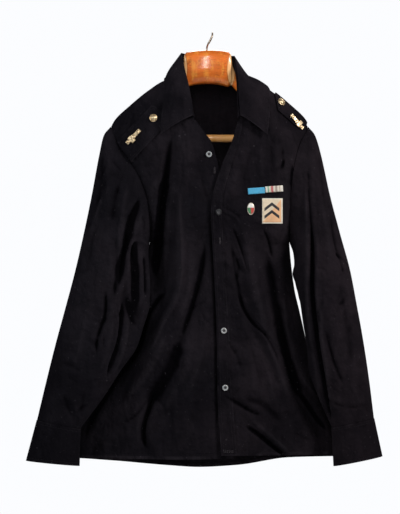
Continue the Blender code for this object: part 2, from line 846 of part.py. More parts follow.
def facing(x, z, lift):
    """Where a small piece sits on a front, and the way that it faces."""
    here = Vector((x, body_y(x, z, True), z))
    beside = x + FACING_STEP
    above = z + FACING_STEP
    right = Vector((beside, body_y(beside, z, True), z)) - here
    up = Vector((x, body_y(x, above, True), above)) - here
    out = right.cross(up).normalized()
    upright = Matrix((up.cross(out).normalized(), up.normalized(), out)).transposed()
    return (here + out * lift) * MM, upright.to_quaternion()


def over_points(strap):
    """A shoulder strap over the ridge, counted in shares of the shoulder's fall."""
    rows = []
    for i in range(STRAP_COLUMNS + 1):
        place_across = 1 - 2 * i / STRAP_COLUMNS
        share_down = (strap.back - strap.front) / 2 + place_across * (strap.back + strap.front) / 2
        down = SHOULDER_FALL * (1 - math.sqrt(1 - share_down ** 2))
        end = read_table(LEVELS, "z", "right", RIDGE[-2].z - down) - STRAP_CLEAR
        row = []
        for j in range(STRAP_ROWS + 1):
            start = strap.tip_x + (end - strap.tip_x) * STRAP_POINT * place_across ** 2
            x = start + (end - start) * j / STRAP_ROWS
            z = ridge_height(x) - down
            row.append(Vector((x, body_y(x, z, share_down <= 0), z)) * MM)
        rows.append(row)
    return rows


def strap_points(strap):
    """A shoulder strap: pointed at the neck, its other end along the armhole."""
    tip = Vector((strap.tip_x, 0.0, strap.tip_z))
    end = Vector((strap.end_x, 0.0, strap.end_z))
    along = (end - tip).normalized()
    across = Vector((-along.z, 0.0, along.x)) * strap.wide / 2
    if across.z > 0:
        across = -across
    rows = []
    for i in range(STRAP_COLUMNS + 1):
        place_across = 1 - 2 * i / STRAP_COLUMNS
        row = []
        for j in range(STRAP_ROWS + 1):
            share = j / STRAP_ROWS
            point = tip.lerp(end, share)
            point += along * strap.wide * STRAP_POINT * place_across ** 2 * (1 - share)
            point -= across * place_across
            edge = read_table(LEVELS, "z", "left", point.z)
            point.x = max(point.x, edge + STRAP_CLEAR)
            point.y = body_y(point.x, point.z, True)
            row.append(point * MM)
        rows.append(row[::-1])
    return rows


def badge_points(badge):
    turn = math.radians(badge.turn)
    rows = []
    for i in range(BADGE_ROWS):
        row = []
        for j in range(BADGE_COLUMNS):
            right = (j / (BADGE_COLUMNS - 1) - 0.5) * badge.wide
            up = (0.5 - i / (BADGE_ROWS - 1)) * badge.high
            x = badge.x + right * math.cos(turn) - up * math.sin(turn)
            z = badge.z + right * math.sin(turn) + up * math.cos(turn)
            row.append(Vector((x, body_y(x, z, True), z)) * MM)
        rows.append(row)
    return rows


def lofted(name, rings, look, holder):
    """A closed solid through rings of equal count, with flat ends."""
    built = bmesh.new()
    grid = [[built.verts.new(point) for point in ring] for ring in rings]
    count = len(rings[0])
    for i in range(len(grid) - 1):
        for j in range(count):
            after = (j + 1) % count
            built.faces.new((grid[i][j], grid[i][after], grid[i + 1][after], grid[i + 1][j]))
    built.faces.new(tuple(reversed(grid[0])))
    built.faces.new(grid[-1])
    bmesh.ops.recalc_face_normals(built, faces=built.faces)
    mesh = bpy.data.meshes.new(name)
    built.to_mesh(mesh)
    built.free()
    return place(name, mesh, look, holder)


def hanger_ring(x, top, low, half):
    ring = []
    for j in range(HANGER_SIDES):
        angle = 2 * math.pi * j / HANGER_SIDES
        side = math.cos(angle)
        up = math.sin(angle)
        power = 2 / HANGER_SQUARE
        y = half * math.copysign(abs(side) ** power, side)
        z = (top + low) / 2 + (top - low) / 2 * math.copysign(abs(up) ** power, up)
        ring.append(Vector((x, y, z)) * MM)
    return ring


def build_hanger(holder):
    rings = []
    for arm in reversed(ARMS):
        x = RIDGE_MIDDLE - arm.out
        rings.append(hanger_ring(x, ridge_height(x) - arm.drop, arm.low, arm.half))
    rings += [hanger_ring(*block) for block in BLOCK]
    for arm in ARMS:
        x = RIDGE_MIDDLE + arm.out
        rings.append(hanger_ring(x, ridge_height(x) - arm.drop, arm.low, arm.half))
    lofted("hanger_wood", rings, WOOD, holder)
    bpy.ops.mesh.primitive_cylinder_add(
        vertices=BAR_SIDES, radius=BAR_RADIUS * MM, depth=2 * BAR_REACH * MM,
        location=(RIDGE_MIDDLE * MM, 0.0, BAR_Z * MM), rotation=(0.0, math.pi / 2, 0.0))
    bar = bpy.context.object
    bar.name = "hanger_bar"
    bar.data.materials.append(material(("bar_wood",) + WOOD[1:]))
    for other in bar.users_collection:
        other.objects.unlink(bar)
    holder.objects.link(bar)


def build_hook(holder):
    """The hook's wire: its bow stands square to the shirt and leans over its stem."""
    middle = WIRE_RADIUS - BOW_RADIUS
    route = [(0.0, STEM_LOW)] + list(STEM_BENDS)
    for i in range(BOW_STEPS + 1):
        angle = math.radians(BOW_START + (BOW_END - BOW_START) * i / BOW_STEPS)
        route.append((BOW_RADIUS * math.cos(angle), middle + BOW_RADIUS * math.sin(angle)))
    curve = bpy.data.curves.new("hanger_hook", "CURVE")
    curve.dimensions = "3D"
    curve.bevel_depth = WIRE_RADIUS * MM
    curve.bevel_resolution = 1
    curve.use_fill_caps = True
    spline = curve.splines.new("POLY")
    spline.points.add(len(route) - 1)
    low = STEM_BENDS[0][1]
    for point, (out, z) in zip(spline.points, route):
        x = STEM_X * (1 - eased((z - low) / -low))
        point.co = (x * MM, -out * MM, z * MM, 1.0)
    made = bpy.data.objects.new("hanger_hook", curve)
    curve.materials.append(material(STEEL))
    holder.objects.link(made)


def build_cloth(holder):
    right = front_points(False)
    left = front_points(True)
    back = back_points()
    sheet("front_right", right, panel_inside(right), holder)
    sheet("front_left", left, panel_inside(left), holder)
    sheet("back", back, panel_inside(back), holder)
    band = [row[:3] for row in moved_out(left, BAND_LIFT)[BAND_START:]]
    top = [row[:3] for row in moved_out(left, BAND_LIFT + BAND_WALL)[BAND_START:]]
    sheet("placket", top, band, holder)
    build_sleeve("right", SLEEVE_RIGHT, SLEEVE_RIGHT_FOLDS, CUFF_RIGHT_END, holder)
    build_sleeve("left", SLEEVE_LEFT, SLEEVE_LEFT_FOLDS, CUFF_LEFT_END, holder)
    leaf = leaf_points()
    sheet("collar_leaf", leaf, moved_out(leaf, -LEAF_WALL), holder)
    stand = stand_points()
    sheet("collar_stand", stand, moved_out(stand, -STAND_WALL), holder)
    laid_on("strap_right", strap_points(STRAP_RIGHT), STRAP_LIFT, STRAP_WALL, holder)
    laid_on("strap_left", over_points(STRAP_LEFT), STRAP_LIFT, STRAP_WALL, holder)


def build_sleeve(side, rings, creases, cuff_end, holder):
    left_side = side == "left"
    sleeve = sleeve_points(rings, creases, left_side)
    sheet(f"sleeve_{side}", sleeve, sleeve_inside(sleeve), holder, closed=True)
    cuff = cuff_points(rings, cuff_end, left_side)
    sheet(f"cuff_{side}", cuff, moved_out(cuff, -CUFF_WALL, True), holder, closed=True)


def build_badges(holder):
    for badge, look in ((RIBBON_BLUE, BLUE), (RIBBON_STRIPED, CREAM), (PATCH, PEACH)):
        laid_on(badge.name, badge_points(badge), BADGE_LIFT, badge.thick, holder, look)
    profile = sized(OVAL_PROFILE, OVAL.wide / 2, OVAL.thick)
    made = turned(OVAL.name, profile, OVAL_SIDES, ENAMEL, holder)
    made.location, facing_out = facing(OVAL.x, OVAL.z, BADGE_LIFT)
    made.rotation_mode = "QUATERNION"
    made.rotation_quaternion = facing_out
    made.scale = (1.0, OVAL.high / OVAL.wide, 1.0)


def build_buttons(holder):
    profile = sized(BUTTON_PROFILE, BUTTON_RADIUS, BUTTON_HEIGHT)
    for button in BUTTONS:
        seat_button(button, profile, PEARL, holder)
    for side, rings, end in (("right", SLEEVE_RIGHT, CUFF_RIGHT_END),
                             ("left", SLEEVE_LEFT, CUFF_LEFT_END)):
        rows = cuff_points(rings, end, False)
        out = normals_of(rows, True)[CUFF_BUTTON_ROW][CUFF_BUTTON_TURN]
        if side == "left":
            out = -out
        made = turned(f"cuff_button_{side}", profile, BUTTON_SIDES, PEARL, holder)
        made.location = rows[CUFF_BUTTON_ROW][CUFF_BUTTON_TURN] + out * CUFF_BUTTON_GAP * MM
        made.rotation_mode = "QUATERNION"
        made.rotation_quaternion = out.to_track_quat("Z", "Y")
    profile = sized(BRASS_PROFILE, BRASS_RADIUS, BRASS_HEIGHT)
    for button in BRASS_BUTTONS:
        seat_button(button, profile, BRASS, holder)


def seat_button(button, profile, look, holder):
    made = turned(button.name, profile, BUTTON_SIDES, look, holder)
    made.location, facing_out = facing(button.x, button.z, button.under + button.gap)
    made.rotation_mode = "QUATERNION"
    made.rotation_quaternion = facing_out


def build_pins(holder):
    """A bar with three beads along it, laid on each shoulder strap."""
    half = PIN_LENGTH / 2
    nose = [Turn(0.0, half), Turn(PIN_NOSE, half - PIN_NOSE_STEP),
            Turn(PIN_RADIUS, half - PIN_NOSE_END)]
    profile = list(nose)
    for bead in reversed(PIN_BEADS):
        flat = PIN_BEAD_HALF / 3
        profile += [Turn(PIN_RADIUS, bead + PIN_BEAD_HALF), Turn(PIN_BEAD, bead + flat),
                    Turn(PIN_BEAD, bead - flat), Turn(PIN_RADIUS, bead - PIN_BEAD_HALF)]
    profile += [Turn(point.radius, -point.height) for point in reversed(nose)]
    for pin in PINS:
        made = turned(pin.name, profile, PIN_SIDES, BRASS, holder)
        lift = ON_STRAP + PIN_BEAD + pin.gap
        ends = []
        for sign in (-0.5, 0.5):
            x = pin.x + sign * pin.run_x
            z = pin.z + sign * pin.run_z
            ends.append(facing(x, z, lift)[0])
        made.location = (ends[0] + ends[1]) / 2
        made.rotation_mode = "QUATERNION"
        made.rotation_quaternion = (ends[1] - ends[0]).to_track_quat("Z", "Y")


def main():
    clear_scene()
    holder = collection_named("military_shirt_on_hanger")
    build_cloth(holder)
    build_badges(holder)
    build_buttons(holder)
    build_pins(holder)
    build_hanger(holder)
    build_hook(holder)


main()
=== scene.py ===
"""The looks of a dark twill military shirt, buttoned in front, on a curved wooden hanger.

Sizes in the tables are millimetres from the inside top of the hook's bow, or metres where a
comment says so. The front faces -Y and +X is the wearer's left. A piece of cloth is a thin
wall between two grids of points, worked out from sections by height and from tables of folds
and creases. Hard pieces are modelled with mesh operators.
"""

import math
from types import SimpleNamespace

import bmesh
import bpy
import numpy as np
from mathutils import Matrix, Vector


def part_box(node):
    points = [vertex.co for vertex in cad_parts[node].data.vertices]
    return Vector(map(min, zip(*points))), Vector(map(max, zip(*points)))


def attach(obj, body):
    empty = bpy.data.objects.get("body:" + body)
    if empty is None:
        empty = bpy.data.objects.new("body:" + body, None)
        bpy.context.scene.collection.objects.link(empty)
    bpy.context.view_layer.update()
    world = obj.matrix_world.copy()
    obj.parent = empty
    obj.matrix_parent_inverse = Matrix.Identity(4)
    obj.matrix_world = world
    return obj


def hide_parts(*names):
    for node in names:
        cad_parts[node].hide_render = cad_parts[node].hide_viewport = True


bl_info = {
    "name": "Military shirt on wooden hanger",
    "version": (1, 0, 0),
    "blender": (4, 5, 0),
    "location": "View3D > Sidebar > Shirt",
    "description": "Dresses the solids of a dark twill shirt on its hanger and sets its stage",
    "category": "Object",
}

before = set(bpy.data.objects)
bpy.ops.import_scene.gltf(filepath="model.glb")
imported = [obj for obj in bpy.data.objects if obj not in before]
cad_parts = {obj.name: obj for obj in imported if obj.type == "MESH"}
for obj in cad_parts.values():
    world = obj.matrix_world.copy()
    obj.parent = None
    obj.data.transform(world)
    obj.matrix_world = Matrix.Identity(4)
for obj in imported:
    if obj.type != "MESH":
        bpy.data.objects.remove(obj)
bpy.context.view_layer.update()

MM = 0.001
# A distance beyond every other, and lengths that count as none
FAR = 1e9
TINY = 1e-9
LOST = 1e-6
SHARP_ANGLE = math.radians(50)


class Table:
    """Rows with named columns, read on a smooth curve along the first column."""

    def __init__(self, names, *rows):
        self.names = names.split()
        self.rows = np.array(sorted(rows), float)

    def read(self, column, at):
        places = self.rows[:, 0]
        values = self.rows[:, self.names.index(column)]
        at = np.clip(at, places[0], places[-1])
        here = np.clip(np.searchsorted(places, at) - 1, 0, len(places) - 2)
        spans = np.diff(places)
        slopes = np.diff(values) / spans
        product = slopes[:-1] * slopes[1:]
        total = np.where(product > 0, slopes[:-1] + slopes[1:], 1.0)
        tangents = np.concatenate([slopes[:1], np.where(product > 0, 2 * product / total, 0.0),
                                   slopes[-1:]])
        s = (at - places[here]) / spans[here]
        return ((1 + 2 * s) * (1 - s) ** 2 * values[here]
                + s * (1 - s) ** 2 * spans[here] * tangents[here]
                + s * s * (3 - 2 * s) * values[here + 1]
                + s * s * (s - 1) * spans[here] * tangents[here + 1])


# Body
SEAM = 0.3
WALL = 1.5
SIDE_ROUNDNESS = 2.1
SHOULDER_FALL = 110.0
NECK_FALL = 30.0
NECK_FALL_OUT = 36.0
NECK_FALL_RUN = 54.0
ARMHOLE_TOP = -181.0
ARMHOLE_LOW = -410.0
ARMHOLE_DEPTH = 42.0
TUCK = 4.4
TUCK_RUN = 30.0
PLACKET_WIDTH = 31.0
UNDERLAP = 24.0
FOLD_EDGE_POWER = 6
TIP_RIGHT = -198.0
TIP_LEFT = 186.0
LEVELS = Table(
    "z left right front back middle",
    (-60, -198, 186, 44, 38, 0),
    (-181, -198, 186, 50, 44, 0),
    (-215, -186, 171, 53, 44, 1),
    (-248, -162, 161, 55, 44, 3),
    (-287, -139, 155, 57, 43, 5),
    (-335, -124, 151, 58, 42, 8),
    (-384, -120, 150, 59, 41, 10),
    (-410, -123, 151, 60, 40, 11),
    (-447, -136, 154, 60, 40, 12),
    (-501, -150, 161, 60, 40, 12),
    (-544, -162, 171, 60, 40, 12),
    (-579, -173, 179, 59, 40, 12),
    (-657, -202, 196, 58, 40, 12),
    (-735, -240, 228, 57, 41, 12),
    (-794, -266, 246, 57, 42, 12),
    (-860, -270, 252, 57, 43, 12),
)
RIDGE_MIDDLE = -6.0
RIDGE = Table(
    "out z",
    (0, -82),
    (60, -83),
    (90, -92),
    (120, -111),
    (160, -144),
    (184, -167),
    (192, -181),
    (198, -200),
)
NECK_ALONG = 0.36
NECK_RIGHT = Table("along x z", (0, -35, -168), (0.12, -45, -142), (0.24, -56, -112), (0.36, -70, -84.4))
NECK_LEFT = Table("along x z", (0, 50, -170), (0.12, 52, -142), (0.24, 54, -112), (0.36, 58, -84.2))
TOP_FADE = 150.0
BACK_NECK_OUT = 64.0
BACK_NECK_DIP = 12.0
BACK_NECK_SPREAD = 1.4
EDGE_LEFT = Table(
    "z x",
    (-170, 50),
    (-211, 38),
    (-248, 22),
    (-274, 13),
    (-298, 5),
    (-320, 0),
    (-349, -2),
    (-429, 2),
    (-579, 9),
    (-716, 11),
    (-860, 19),
)
EDGE_RIGHT_OPEN = Table("z x", (-168, -35), (-195, -15), (-213, -2), (-242, 7), (-270, 14))
OPEN_LOW = -270.0
HEM_FRONT = Table("x z", (-262, -829), (-60, -831), (10, -824), (244, -822))
HEM_BACK = Table(
    "x z",
    (-262, -832),
    (-190, -838),
    (-80, -848),
    (-26, -851),
    (50, -847),
    (150, -832),
    (244, -828),
)

# Folds: three places on each, its width and how far it stands out, troughs below nought
FOLD_END = 55.0
CORNER_CUT = 0.25
CREASE_MARGIN = 5
CREASE_TAPER = 0.2
CREASE_POINT = 0.45
CREASE_POWER = 1.5
SMALL_LENGTH = (16.0, 62.0)
SMALL_WIDTH = (2.2, 4.6)
SMALL_HEIGHT = (-2.0, 1.1)
SMALL_SWING = 0.75
SMALL_BEND = (-0.22, 0.22)
SMALL_ON_BODY = 150
SMALL_ON_SLEEVE = 70
FRONT_SEED = 3
BACK_SEED = 5
SLEEVE_FRONT_SEED = 7
SLEEVE_BACK_SEED = 11
BODY_BOX = ((-240.0, -800.0), (230.0, -150.0))
SLEEVE_RIGHT_BOX = ((-340.0, -740.0), (-130.0, -230.0))
SLEEVE_LEFT_BOX = ((160.0, -740.0), (320.0, -230.0))
BESIDE_PLACKET = (2.3, -3.4, 0.0)
BESIDE_RUN = 2.6
BESIDE_HEIGHTS = range(-300, -830, -40)
LIP_OUT = 2.3
LIP_WIDE = 1.2
LIP_SHARE = 0.28
# How much the folds count, beside the creases, in the heights that steer the twill's painted shade and
# highlight
FOLD_SHARE = 0.16
FRONT_FOLDS = (
    (-86, -235, -95, -350, -112, -500, 15, -15),
    (-52, -200, -60, -320, -66, -450, 26, 6),
    (-62, -400, -82, -545, -146, -665, 17, 11),
    (-14, -410, -30, -500, -66, -610, 13, -8),
    (-128, -560, -160, -640, -205, -720, 15, -10),
    (-118, -690, -126, -760, -134, -835, 14, -10),
    (-40, -640, -62, -730, -80, -835, 22, 5),
    (104, -400, 124, -560, 216, -790, 16, -10),
    (48, -380, 68, -540, 190, -760, 12, -5),
    (72, -420, 100, -580, 196, -790, 13, 9),
    (36, -690, 74, -750, 150, -840, 13, -6),
    (130, -250, 132, -350, 138, -480, 16, 6),
    (60, -230, 40, -290, 16, -350, 18, 4),
)
BACK_FOLDS = (
    (-90, -190, -104, -380, -150, -640, 18, -10),
    (-40, -300, -52, -520, -96, -800, 24, 7),
    (8, -210, 4, -460, 30, -760, 20, -7),
    (96, -200, 108, -420, 160, -700, 18, -10),
    (60, -420, 82, -600, 140, -820, 22, 8),
    (-150, -560, -176, -680, -210, -820, 16, -7),
)

# Creases: width, how far each stands out or sinks, lean of its steeper side, and its line
FRONT_CREASES = (
    (5, -8, 0, (-97, -306), (-100, -355), (-102, -404), (-108, -458)),
    (6, -3.2, 0.2, (-79, -195), (-83, -232), (-88, -270), (-96, -320)),
    (8, -10, 0.2, (-88, -268), (-97, -326), (-104, -374), (-108, -423), (-112, -482)),
    (4, -6, 0.3, (-87, -501), (-106, -521), (-122, -544), (-134, -579), (-139, -608)),
    (5, 4.0, 0.2, (-63, -287), (-65, -345), (-61, -404), (-59, -458), (-67, -517), (-93, -552),
     (-106, -583), (-124, -622), (-145, -653)),
    (5, -3.5, 0.2, (-15, -400), (-17, -439), (-26, -482), (-40, -532), (-58, -587), (-63, -610)),
    (2.4, -2.0, 0, (-9, -519), (-26, -530), (-44, -540)),
    (4, 1.2, 0, (-13, -526), (-28, -538), (-40, -546)),
    (13, -6, 0.1, (-59, -591), (-77, -649), (-100, -688), (-114, -716), (-124, -739)),
    (3.5, -7, 0.3, (-112, -700), (-122, -731), (-134, -764), (-134, -790), (-128, -813)),
    (5, 3, 0, (-102, -696), (-112, -731), (-122, -762), (-122, -794), (-116, -817)),
    (3.5, -3, 0.3, (-122, -706), (-141, -739), (-161, -755), (-186, -764)),
    (2.2, -1.8, 0, (-180, -706), (-165, -712), (-149, -704)),
    (6, -7, 0, (-118, -521), (-134, -579), (-143, -612), (-165, -644), (-184, -665), (-200, -692),
     (-223, -731), (-243, -768), (-254, -813)),
    (6, 2.6, 0, (-91, -589), (-112, -634), (-136, -673), (-161, -700), (-176, -731)),
    (5, -2, 0, (-44, -199), (-28, -257), (-13, -316), (-7, -337)),
    (5, -1.6, 0, (-40, -712), (-20, -694), (1, -673)),
    (4, -1.5, 0, (-52, -739), (-30, -720), (-9, -708)),
    (5, -2, 0, (-77, -716), (-83, -755), (-79, -794)),
    (7, 2, 0, (-34, -423), (-44, -501), (-63, -569)),
    (6, 1.8, 0, (-9, -540), (-17, -608), (-32, -667), (-52, -716)),
    (3, -1.8, 0, (-58, -374), (-40, -367), (-22, -353)),
    (4, -1.4, 0, (-56, -228), (-61, -277), (-67, -322)),
    (4, -1.6, 0, (-219, -790), (-204, -798), (-184, -796)),
    (3.2, -5, -0.3, (46, -497), (59, -540), (79, -567), (98, -583), (114, -604), (126, -632),
     (137, -661)),
    (8, -3.2, 0, (104, -433), (114, -472), (122, -521), (130, -564), (139, -603)),
    (8, -6, 0, (126, -564), (137, -603), (149, -647), (161, -688), (178, -720)),
    (3.5, -7, -0.3, (167, -700), (188, -731), (204, -755), (225, -778)),
    (5, 4, -0.2, (137, -501), (145, -575), (157, -628), (173, -667), (194, -696), (212, -725)),
    (3.5, -3, 0, (36, -404), (40, -443), (50, -497), (61, -544)),
    (2.6, -3, -0.2, (34, -372), (50, -404), (61, -437), (71, -474)),
    (2.4, -2.4, 0, (19, -341), (44, -349), (56, -367)),
    (2.2, -1.8, 0, (19, -353), (38, -359), (52, -372)),
    (4, 1.5, 0, (22, -347), (50, -365), (65, -404), (77, -447)),
    (3, -3, 0, (97, -380), (110, -404), (116, -439)),
    (4, -4, -0.2, (19, -706), (54, -725), (75, -739), (104, -747)),
    (10, -3, 0, (54, -712), (97, -720), (139, -762)),
    (3.5, -7, -0.3, (59, -762), (89, -784), (112, -803), (132, -819), (147, -833)),
    (5, 3, 0, (65, -743), (97, -770), (132, -801), (157, -825)),
    (3, -1.6, 0, (19, -762), (38, -760), (54, -766)),
    (6, -8, 0, (155, -248), (157, -296), (159, -335), (155, -374), (155, -408)),
    (3, 2.4, 0, (147, -316), (149, -349), (147, -380)),
    (4, -3, 0, (136, -218), (137, -257), (141, -302)),
    (7, 2, 0, (89, -220), (97, -257), (93, -291)),
    (6, -1.8, 0, (73, -228), (65, -271), (50, -306)),
    (4, -1.8, 0, (112, -209), (116, -244), (114, -279)),
    (5, 1.8, 0, (69, -579), (97, -622), (112, -677), (124, -725)),
    (4, -1.6, 0, (73, -608), (89, -661), (97, -700)),
    (3, -1.5, 0, (26, -647), (54, -642), (73, -649)),
    (6, 1.8, 0, (85, -491), (97, -540), (108, -575)),
    (3, -2.0, 0, (155, -774), (178, -790), (206, -796)),
    (4, -2.2, 0, (24, -599), (46, -622), (58, -661)),
)
BACK_CREASES = (
    (5, -3.6, 0.3, (-120, -201), (-116, -287), (-122, -404)),
    (5, -4.0, 0.3, (-98, -388), (-118, -491), (-157, -608)),
    (7, 2.8, 0, (-61, -240), (-71, -349), (-69, -462)),
    (5, -2.4, 0, (-30, -201), (-24, -291), (-34, -380)),
    (4, -3.2, 0.2, (3, -326), (9, -447), (32, -560)),
    (6, 2.6, 0, (40, -419), (59, -501), (65, -599)),
    (5, -3.8, -0.3, (118, -209), (110, -318), (116, -431)),
    (4, -4.0, -0.2, (110, -439), (128, -540), (159, -642)),
    (7, 3.0, 0, (79, -560), (98, -681), (159, -790)),
    (5, -3.6, 0.2, (-81, -599), (-108, -700), (-149, -801)),
    (8, 2.4, 0, (-11, -599), (-17, -700), (-40, -809)),
    (4, -3.0, 0, (26, -649), (44, -731), (59, -829)),
    (6, -3.0, 0, (-190, -642), (-206, -731), (-221, -809)),
    (6, -3.0, 0, (169, -599), (190, -700), (210, -801)),
    (3, -2.0, 0, (-139, -439), (-120, -452), (-97, -448)),
    (3, -1.8, 0, (59, -330), (79, -345), (104, -341)),
    (5, 1.6, 0, (-59, -700), (-40, -716), (-17, -712)),
    (3, -2.0, 0, (-63, -521), (-40, -544), (-13, -532)),
    (12, -4.0, 0, (-44, -287), (-63, -443), (-83, -618), (-102, -774)),
    (12, -4.0, 0, (54, -267), (73, -443), (97, -599), (124, -774)),
)
SLEEVE_RIGHT_FRONT = (
    (5.5, -13, 0.1, (-136, -310), (-145, -339), (-159, -374), (-167, -408), (-173, -433), (-178, -472),
     (-182, -501)),
    (5, -13, 0, (-149, -405), (-153, -437), (-147, -462), (-147, -493), (-147, -540)),
    (3.4, 3.5, 0, (-167, -427), (-157, -408), (-141, -400), (-126, -410), (-118, -429), (-118, -458)),
    (2.4, -4, 0, (-141, -355), (-130, -370), (-134, -390)),
    (4, -5, 0.2, (-208, -493), (-206, -548), (-217, -575), (-225, -603), (-223, -634)),
    (3.4, -9, 0, (-173, -521), (-176, -579), (-182, -608), (-196, -645), (-206, -677)),
    (6, -3, 0, (-184, -291), (-192, -332), (-196, -372)),
    (5, -5, 0, (-186, -392), (-186, -452), (-190, -521)),
    (4, 3, 0, (-212, -314), (-225, -355), (-241, -400)),
    (6, -3, 0, (-214, -228), (-219, -306), (-225, -341)),
    (5, 3, 0, (-161, -287), (-171, -326), (-178, -394), (-184, -447)),
    (5, -2.6, 0, (-293, -700), (-278, -731), (-266, -757)),
    (5, -2.2, 0, (-247, -692), (-251, -723), (-254, -753)),
    (5, 3, 0, (-194, -513), (-194, -575), (-208, -622), (-221, -669)),
    (2.4, -3.2, 0, (-178, -606), (-188, -640), (-200, -673)),
    (4, 2.4, 0, (-163, -540), (-165, -579), (-175, -622), (-186, -653)),
    (4, -2.4, 0, (-212, -579), (-208, -606), (-212, -638)),
    (7, 2.2, 0, (-239, -521), (-251, -589), (-270, -661)),
    (6, -2.0, 0, (-227, -355), (-235, -413), (-247, -472)),
    (4, -6, 0, (-134, -430), (-130, -482), (-130, -521)),
    (3, -2.2, 0, (-165, -267), (-178, -287), (-188, -314)),
    (4, -2.0, 0, (-297, -638), (-274, -649), (-251, -661)),
    (4, -2.6, 0, (-198, -244), (-186, -259), (-173, -271)),
)
SLEEVE_LEFT_FRONT = (
    (3, -2.6, 0, (186, -254), (188, -326), (192, -384)),
    (3.8, -11, 0, (190, -349), (194, -404), (194, -447), (192, -501), (196, -552),
     (202, -601), (210, -649), (217, -696), (225, -739), (235, -778)),
    (3.5, -2.6, 0, (229, -349), (235, -394), (241, -423), (251, -450), (260, -480)),
    (4, -3.2, 0, (214, -566), (227, -618), (241, -657), (258, -694)),
    (4, 3, 0, (180, -287), (182, -365), (182, -443), (182, -521), (188, -579)),
    (4, -2.2, 0, (225, -716), (258, -731), (303, -725)),
    (5, 2.4, 0, (206, -513), (214, -595), (227, -684)),
    (8, -2.2, 0, (249, -501), (264, -579), (272, -653)),
    (6, 2.0, 0, (210, -306), (221, -384), (233, -462)),
    (5, -2.0, 0, (206, -228), (214, -287), (217, -335)),
    (3, -2.4, 0, (235, -427), (251, -435), (268, -458)),
    (5, 1.8, 0, (264, -677), (280, -706), (292, -745)),
    (3, -2.0, 0, (175, -521), (180, -564), (184, -610)),
    (4, -1.8, 0, (241, -735), (268, -745), (292, -741)),
)

# Sleeves: outer and inner line, middle of the depth and half of it, from armhole to cuff
ARMHOLE_STEP = 0.7
ARMHOLE_BLEND = 0.2
CREASE_FREE_TOP = 0.08
CREASE_FREE_LOW = 0.06
CREASE_END = 0.15
FRONT_REACH = 3.0
RING_NAMES = "along outer_x outer_z inner_x inner_z y half"
SLEEVE_RIGHT = Table(
    RING_NAMES,
    (0.00, -198, -181, -123, -410, 6, 42),
    (0.06, -212, -199, -124, -432, -10, 41),
    (0.15, -221, -238, -123, -460, -27, 36),
    (0.27, -235, -316, -121, -494, -43, 31),
    (0.40, -251, -394, -122, -530, -51, 28),
    (0.52, -268, -468, -133, -569, -54, 27),
    (0.64, -286, -536, -147, -612, -56, 25),
    (0.76, -305, -606, -178, -657, -56, 24),
    (0.88, -324, -682, -213, -711, -55, 23),
    (1.00, -341, -753, -257, -770, -54, 22),
)
SLEEVE_LEFT = Table(
    RING_NAMES,
    (0.00, 186, -181, 151, -410, 6, 42),
    (0.06, 200, -198, 158, -430, 0, 42),
    (0.15, 213, -240, 160, -452, -8, 41),
    (0.21, 220, -272, 157, -468, -13, 40),
    (0.27, 228, -310, 162, -484, -18, 40),
    (0.40, 248, -388, 170, -520, -27, 38),
    (0.52, 268, -462, 176, -564, -34, 36),
    (0.64, 281, -530, 183, -608, -38, 34),
    (0.76, 294, -603, 188, -657, -41, 32),
    (0.88, 305, -677, 206, -710, -43, 29),
    (1.00, 314, -750, 232, -768, -44, 26),
)
CUFF_RIGHT_END = (-362, -832, -259, -842, -54, 27)
CUFF_LEFT_END = (330, -824, 236, -843, -44, 31)
CUFF_SWELL = 0.8
CUFF_STEP = 0.5
CUFF_WALL = 2.4

# Creases behind the sleeves: start and end along the sleeve and round it, width and height
SLEEVE_RIGHT_CREASES = (
    (0.12, 0.30, 0.55, 0.36, 0.05, -5),
    (0.15, 0.72, 0.70, 0.68, 0.06, -6),
    (0.50, 0.85, 0.95, 0.76, 0.06, 5),
    (0.20, 0.64, 0.60, 0.62, 0.016, -3.6),
    (0.40, 0.76, 0.80, 0.73, 0.016, -3.4),
    (0.60, 0.66, 0.95, 0.63, 0.016, -3.0),
    (0.10, 0.80, 0.34, 0.84, 0.014, -2.6),
    (0.30, 0.90, 0.62, 0.86, 0.014, -2.8),
    (0.46, 0.60, 0.60, 0.66, 0.012, -2.4),
    (0.70, 0.84, 0.92, 0.88, 0.014, -2.6),
    (0.14, 0.84, 0.40, 0.82, 0.020, 1.8),
)
SLEEVE_LEFT_CREASES = (
    (0.14, 0.57, 0.40, 0.57, 0.05, 7),
    (0.20, 0.70, 0.75, 0.66, 0.06, -6),
    (0.50, 0.86, 0.95, 0.80, 0.06, 5),
    (0.20, 0.64, 0.60, 0.62, 0.016, -3.6),
    (0.42, 0.77, 0.82, 0.74, 0.016, -3.4),
    (0.62, 0.66, 0.95, 0.64, 0.016, -3.0),
    (0.10, 0.82, 0.30, 0.86, 0.014, -2.6),
    (0.34, 0.90, 0.60, 0.88, 0.014, -2.8),
    (0.50, 0.58, 0.64, 0.64, 0.012, -2.4),
    (0.72, 0.86, 0.94, 0.90, 0.014, -2.6),
    (0.14, 0.86, 0.40, 0.84, 0.020, 1.8),
)

# Collar: its fold at the top and its outer edge, from the right front round to the left
COLLAR = Table(
    "turn fold_x fold_y fold_z edge_x edge_y edge_z bulge",
    (0.00, -38, -58, -161, -101, -58, -198, 2),
    (0.10, -43, -51, -128, -99, -52, -165, 3),
    (0.20, -50, -38, -91, -97, -40, -130, 6),
    (0.30, -60, -14, -49, -95, -14, -95, 5),
    (0.38, -61, 16, -36, -93, 24, -102, 3),
    (0.45, -40, 40, -39, -62, 52, -104, 6),
    (0.50, -6, 47, -41, -6, 58, -105, 5),
    (0.55, 24, 40, -41, 52, 52, -106, 4),
    (0.62, 43, 16, -42, 88, 24, -112, 0),
    (0.70, 46, -14, -56, 113, -18, -119, -4),
    (0.80, 50, -38, -94, 112, -42, -148, 0),
    (0.90, 51, -51, -128, 110, -52, -174, 2),
    (1.00, 54, -58, -161, 107, -57, -200, 2),
)
LEAF_WALL = 2.0
LEAF_LIFT = 3.2
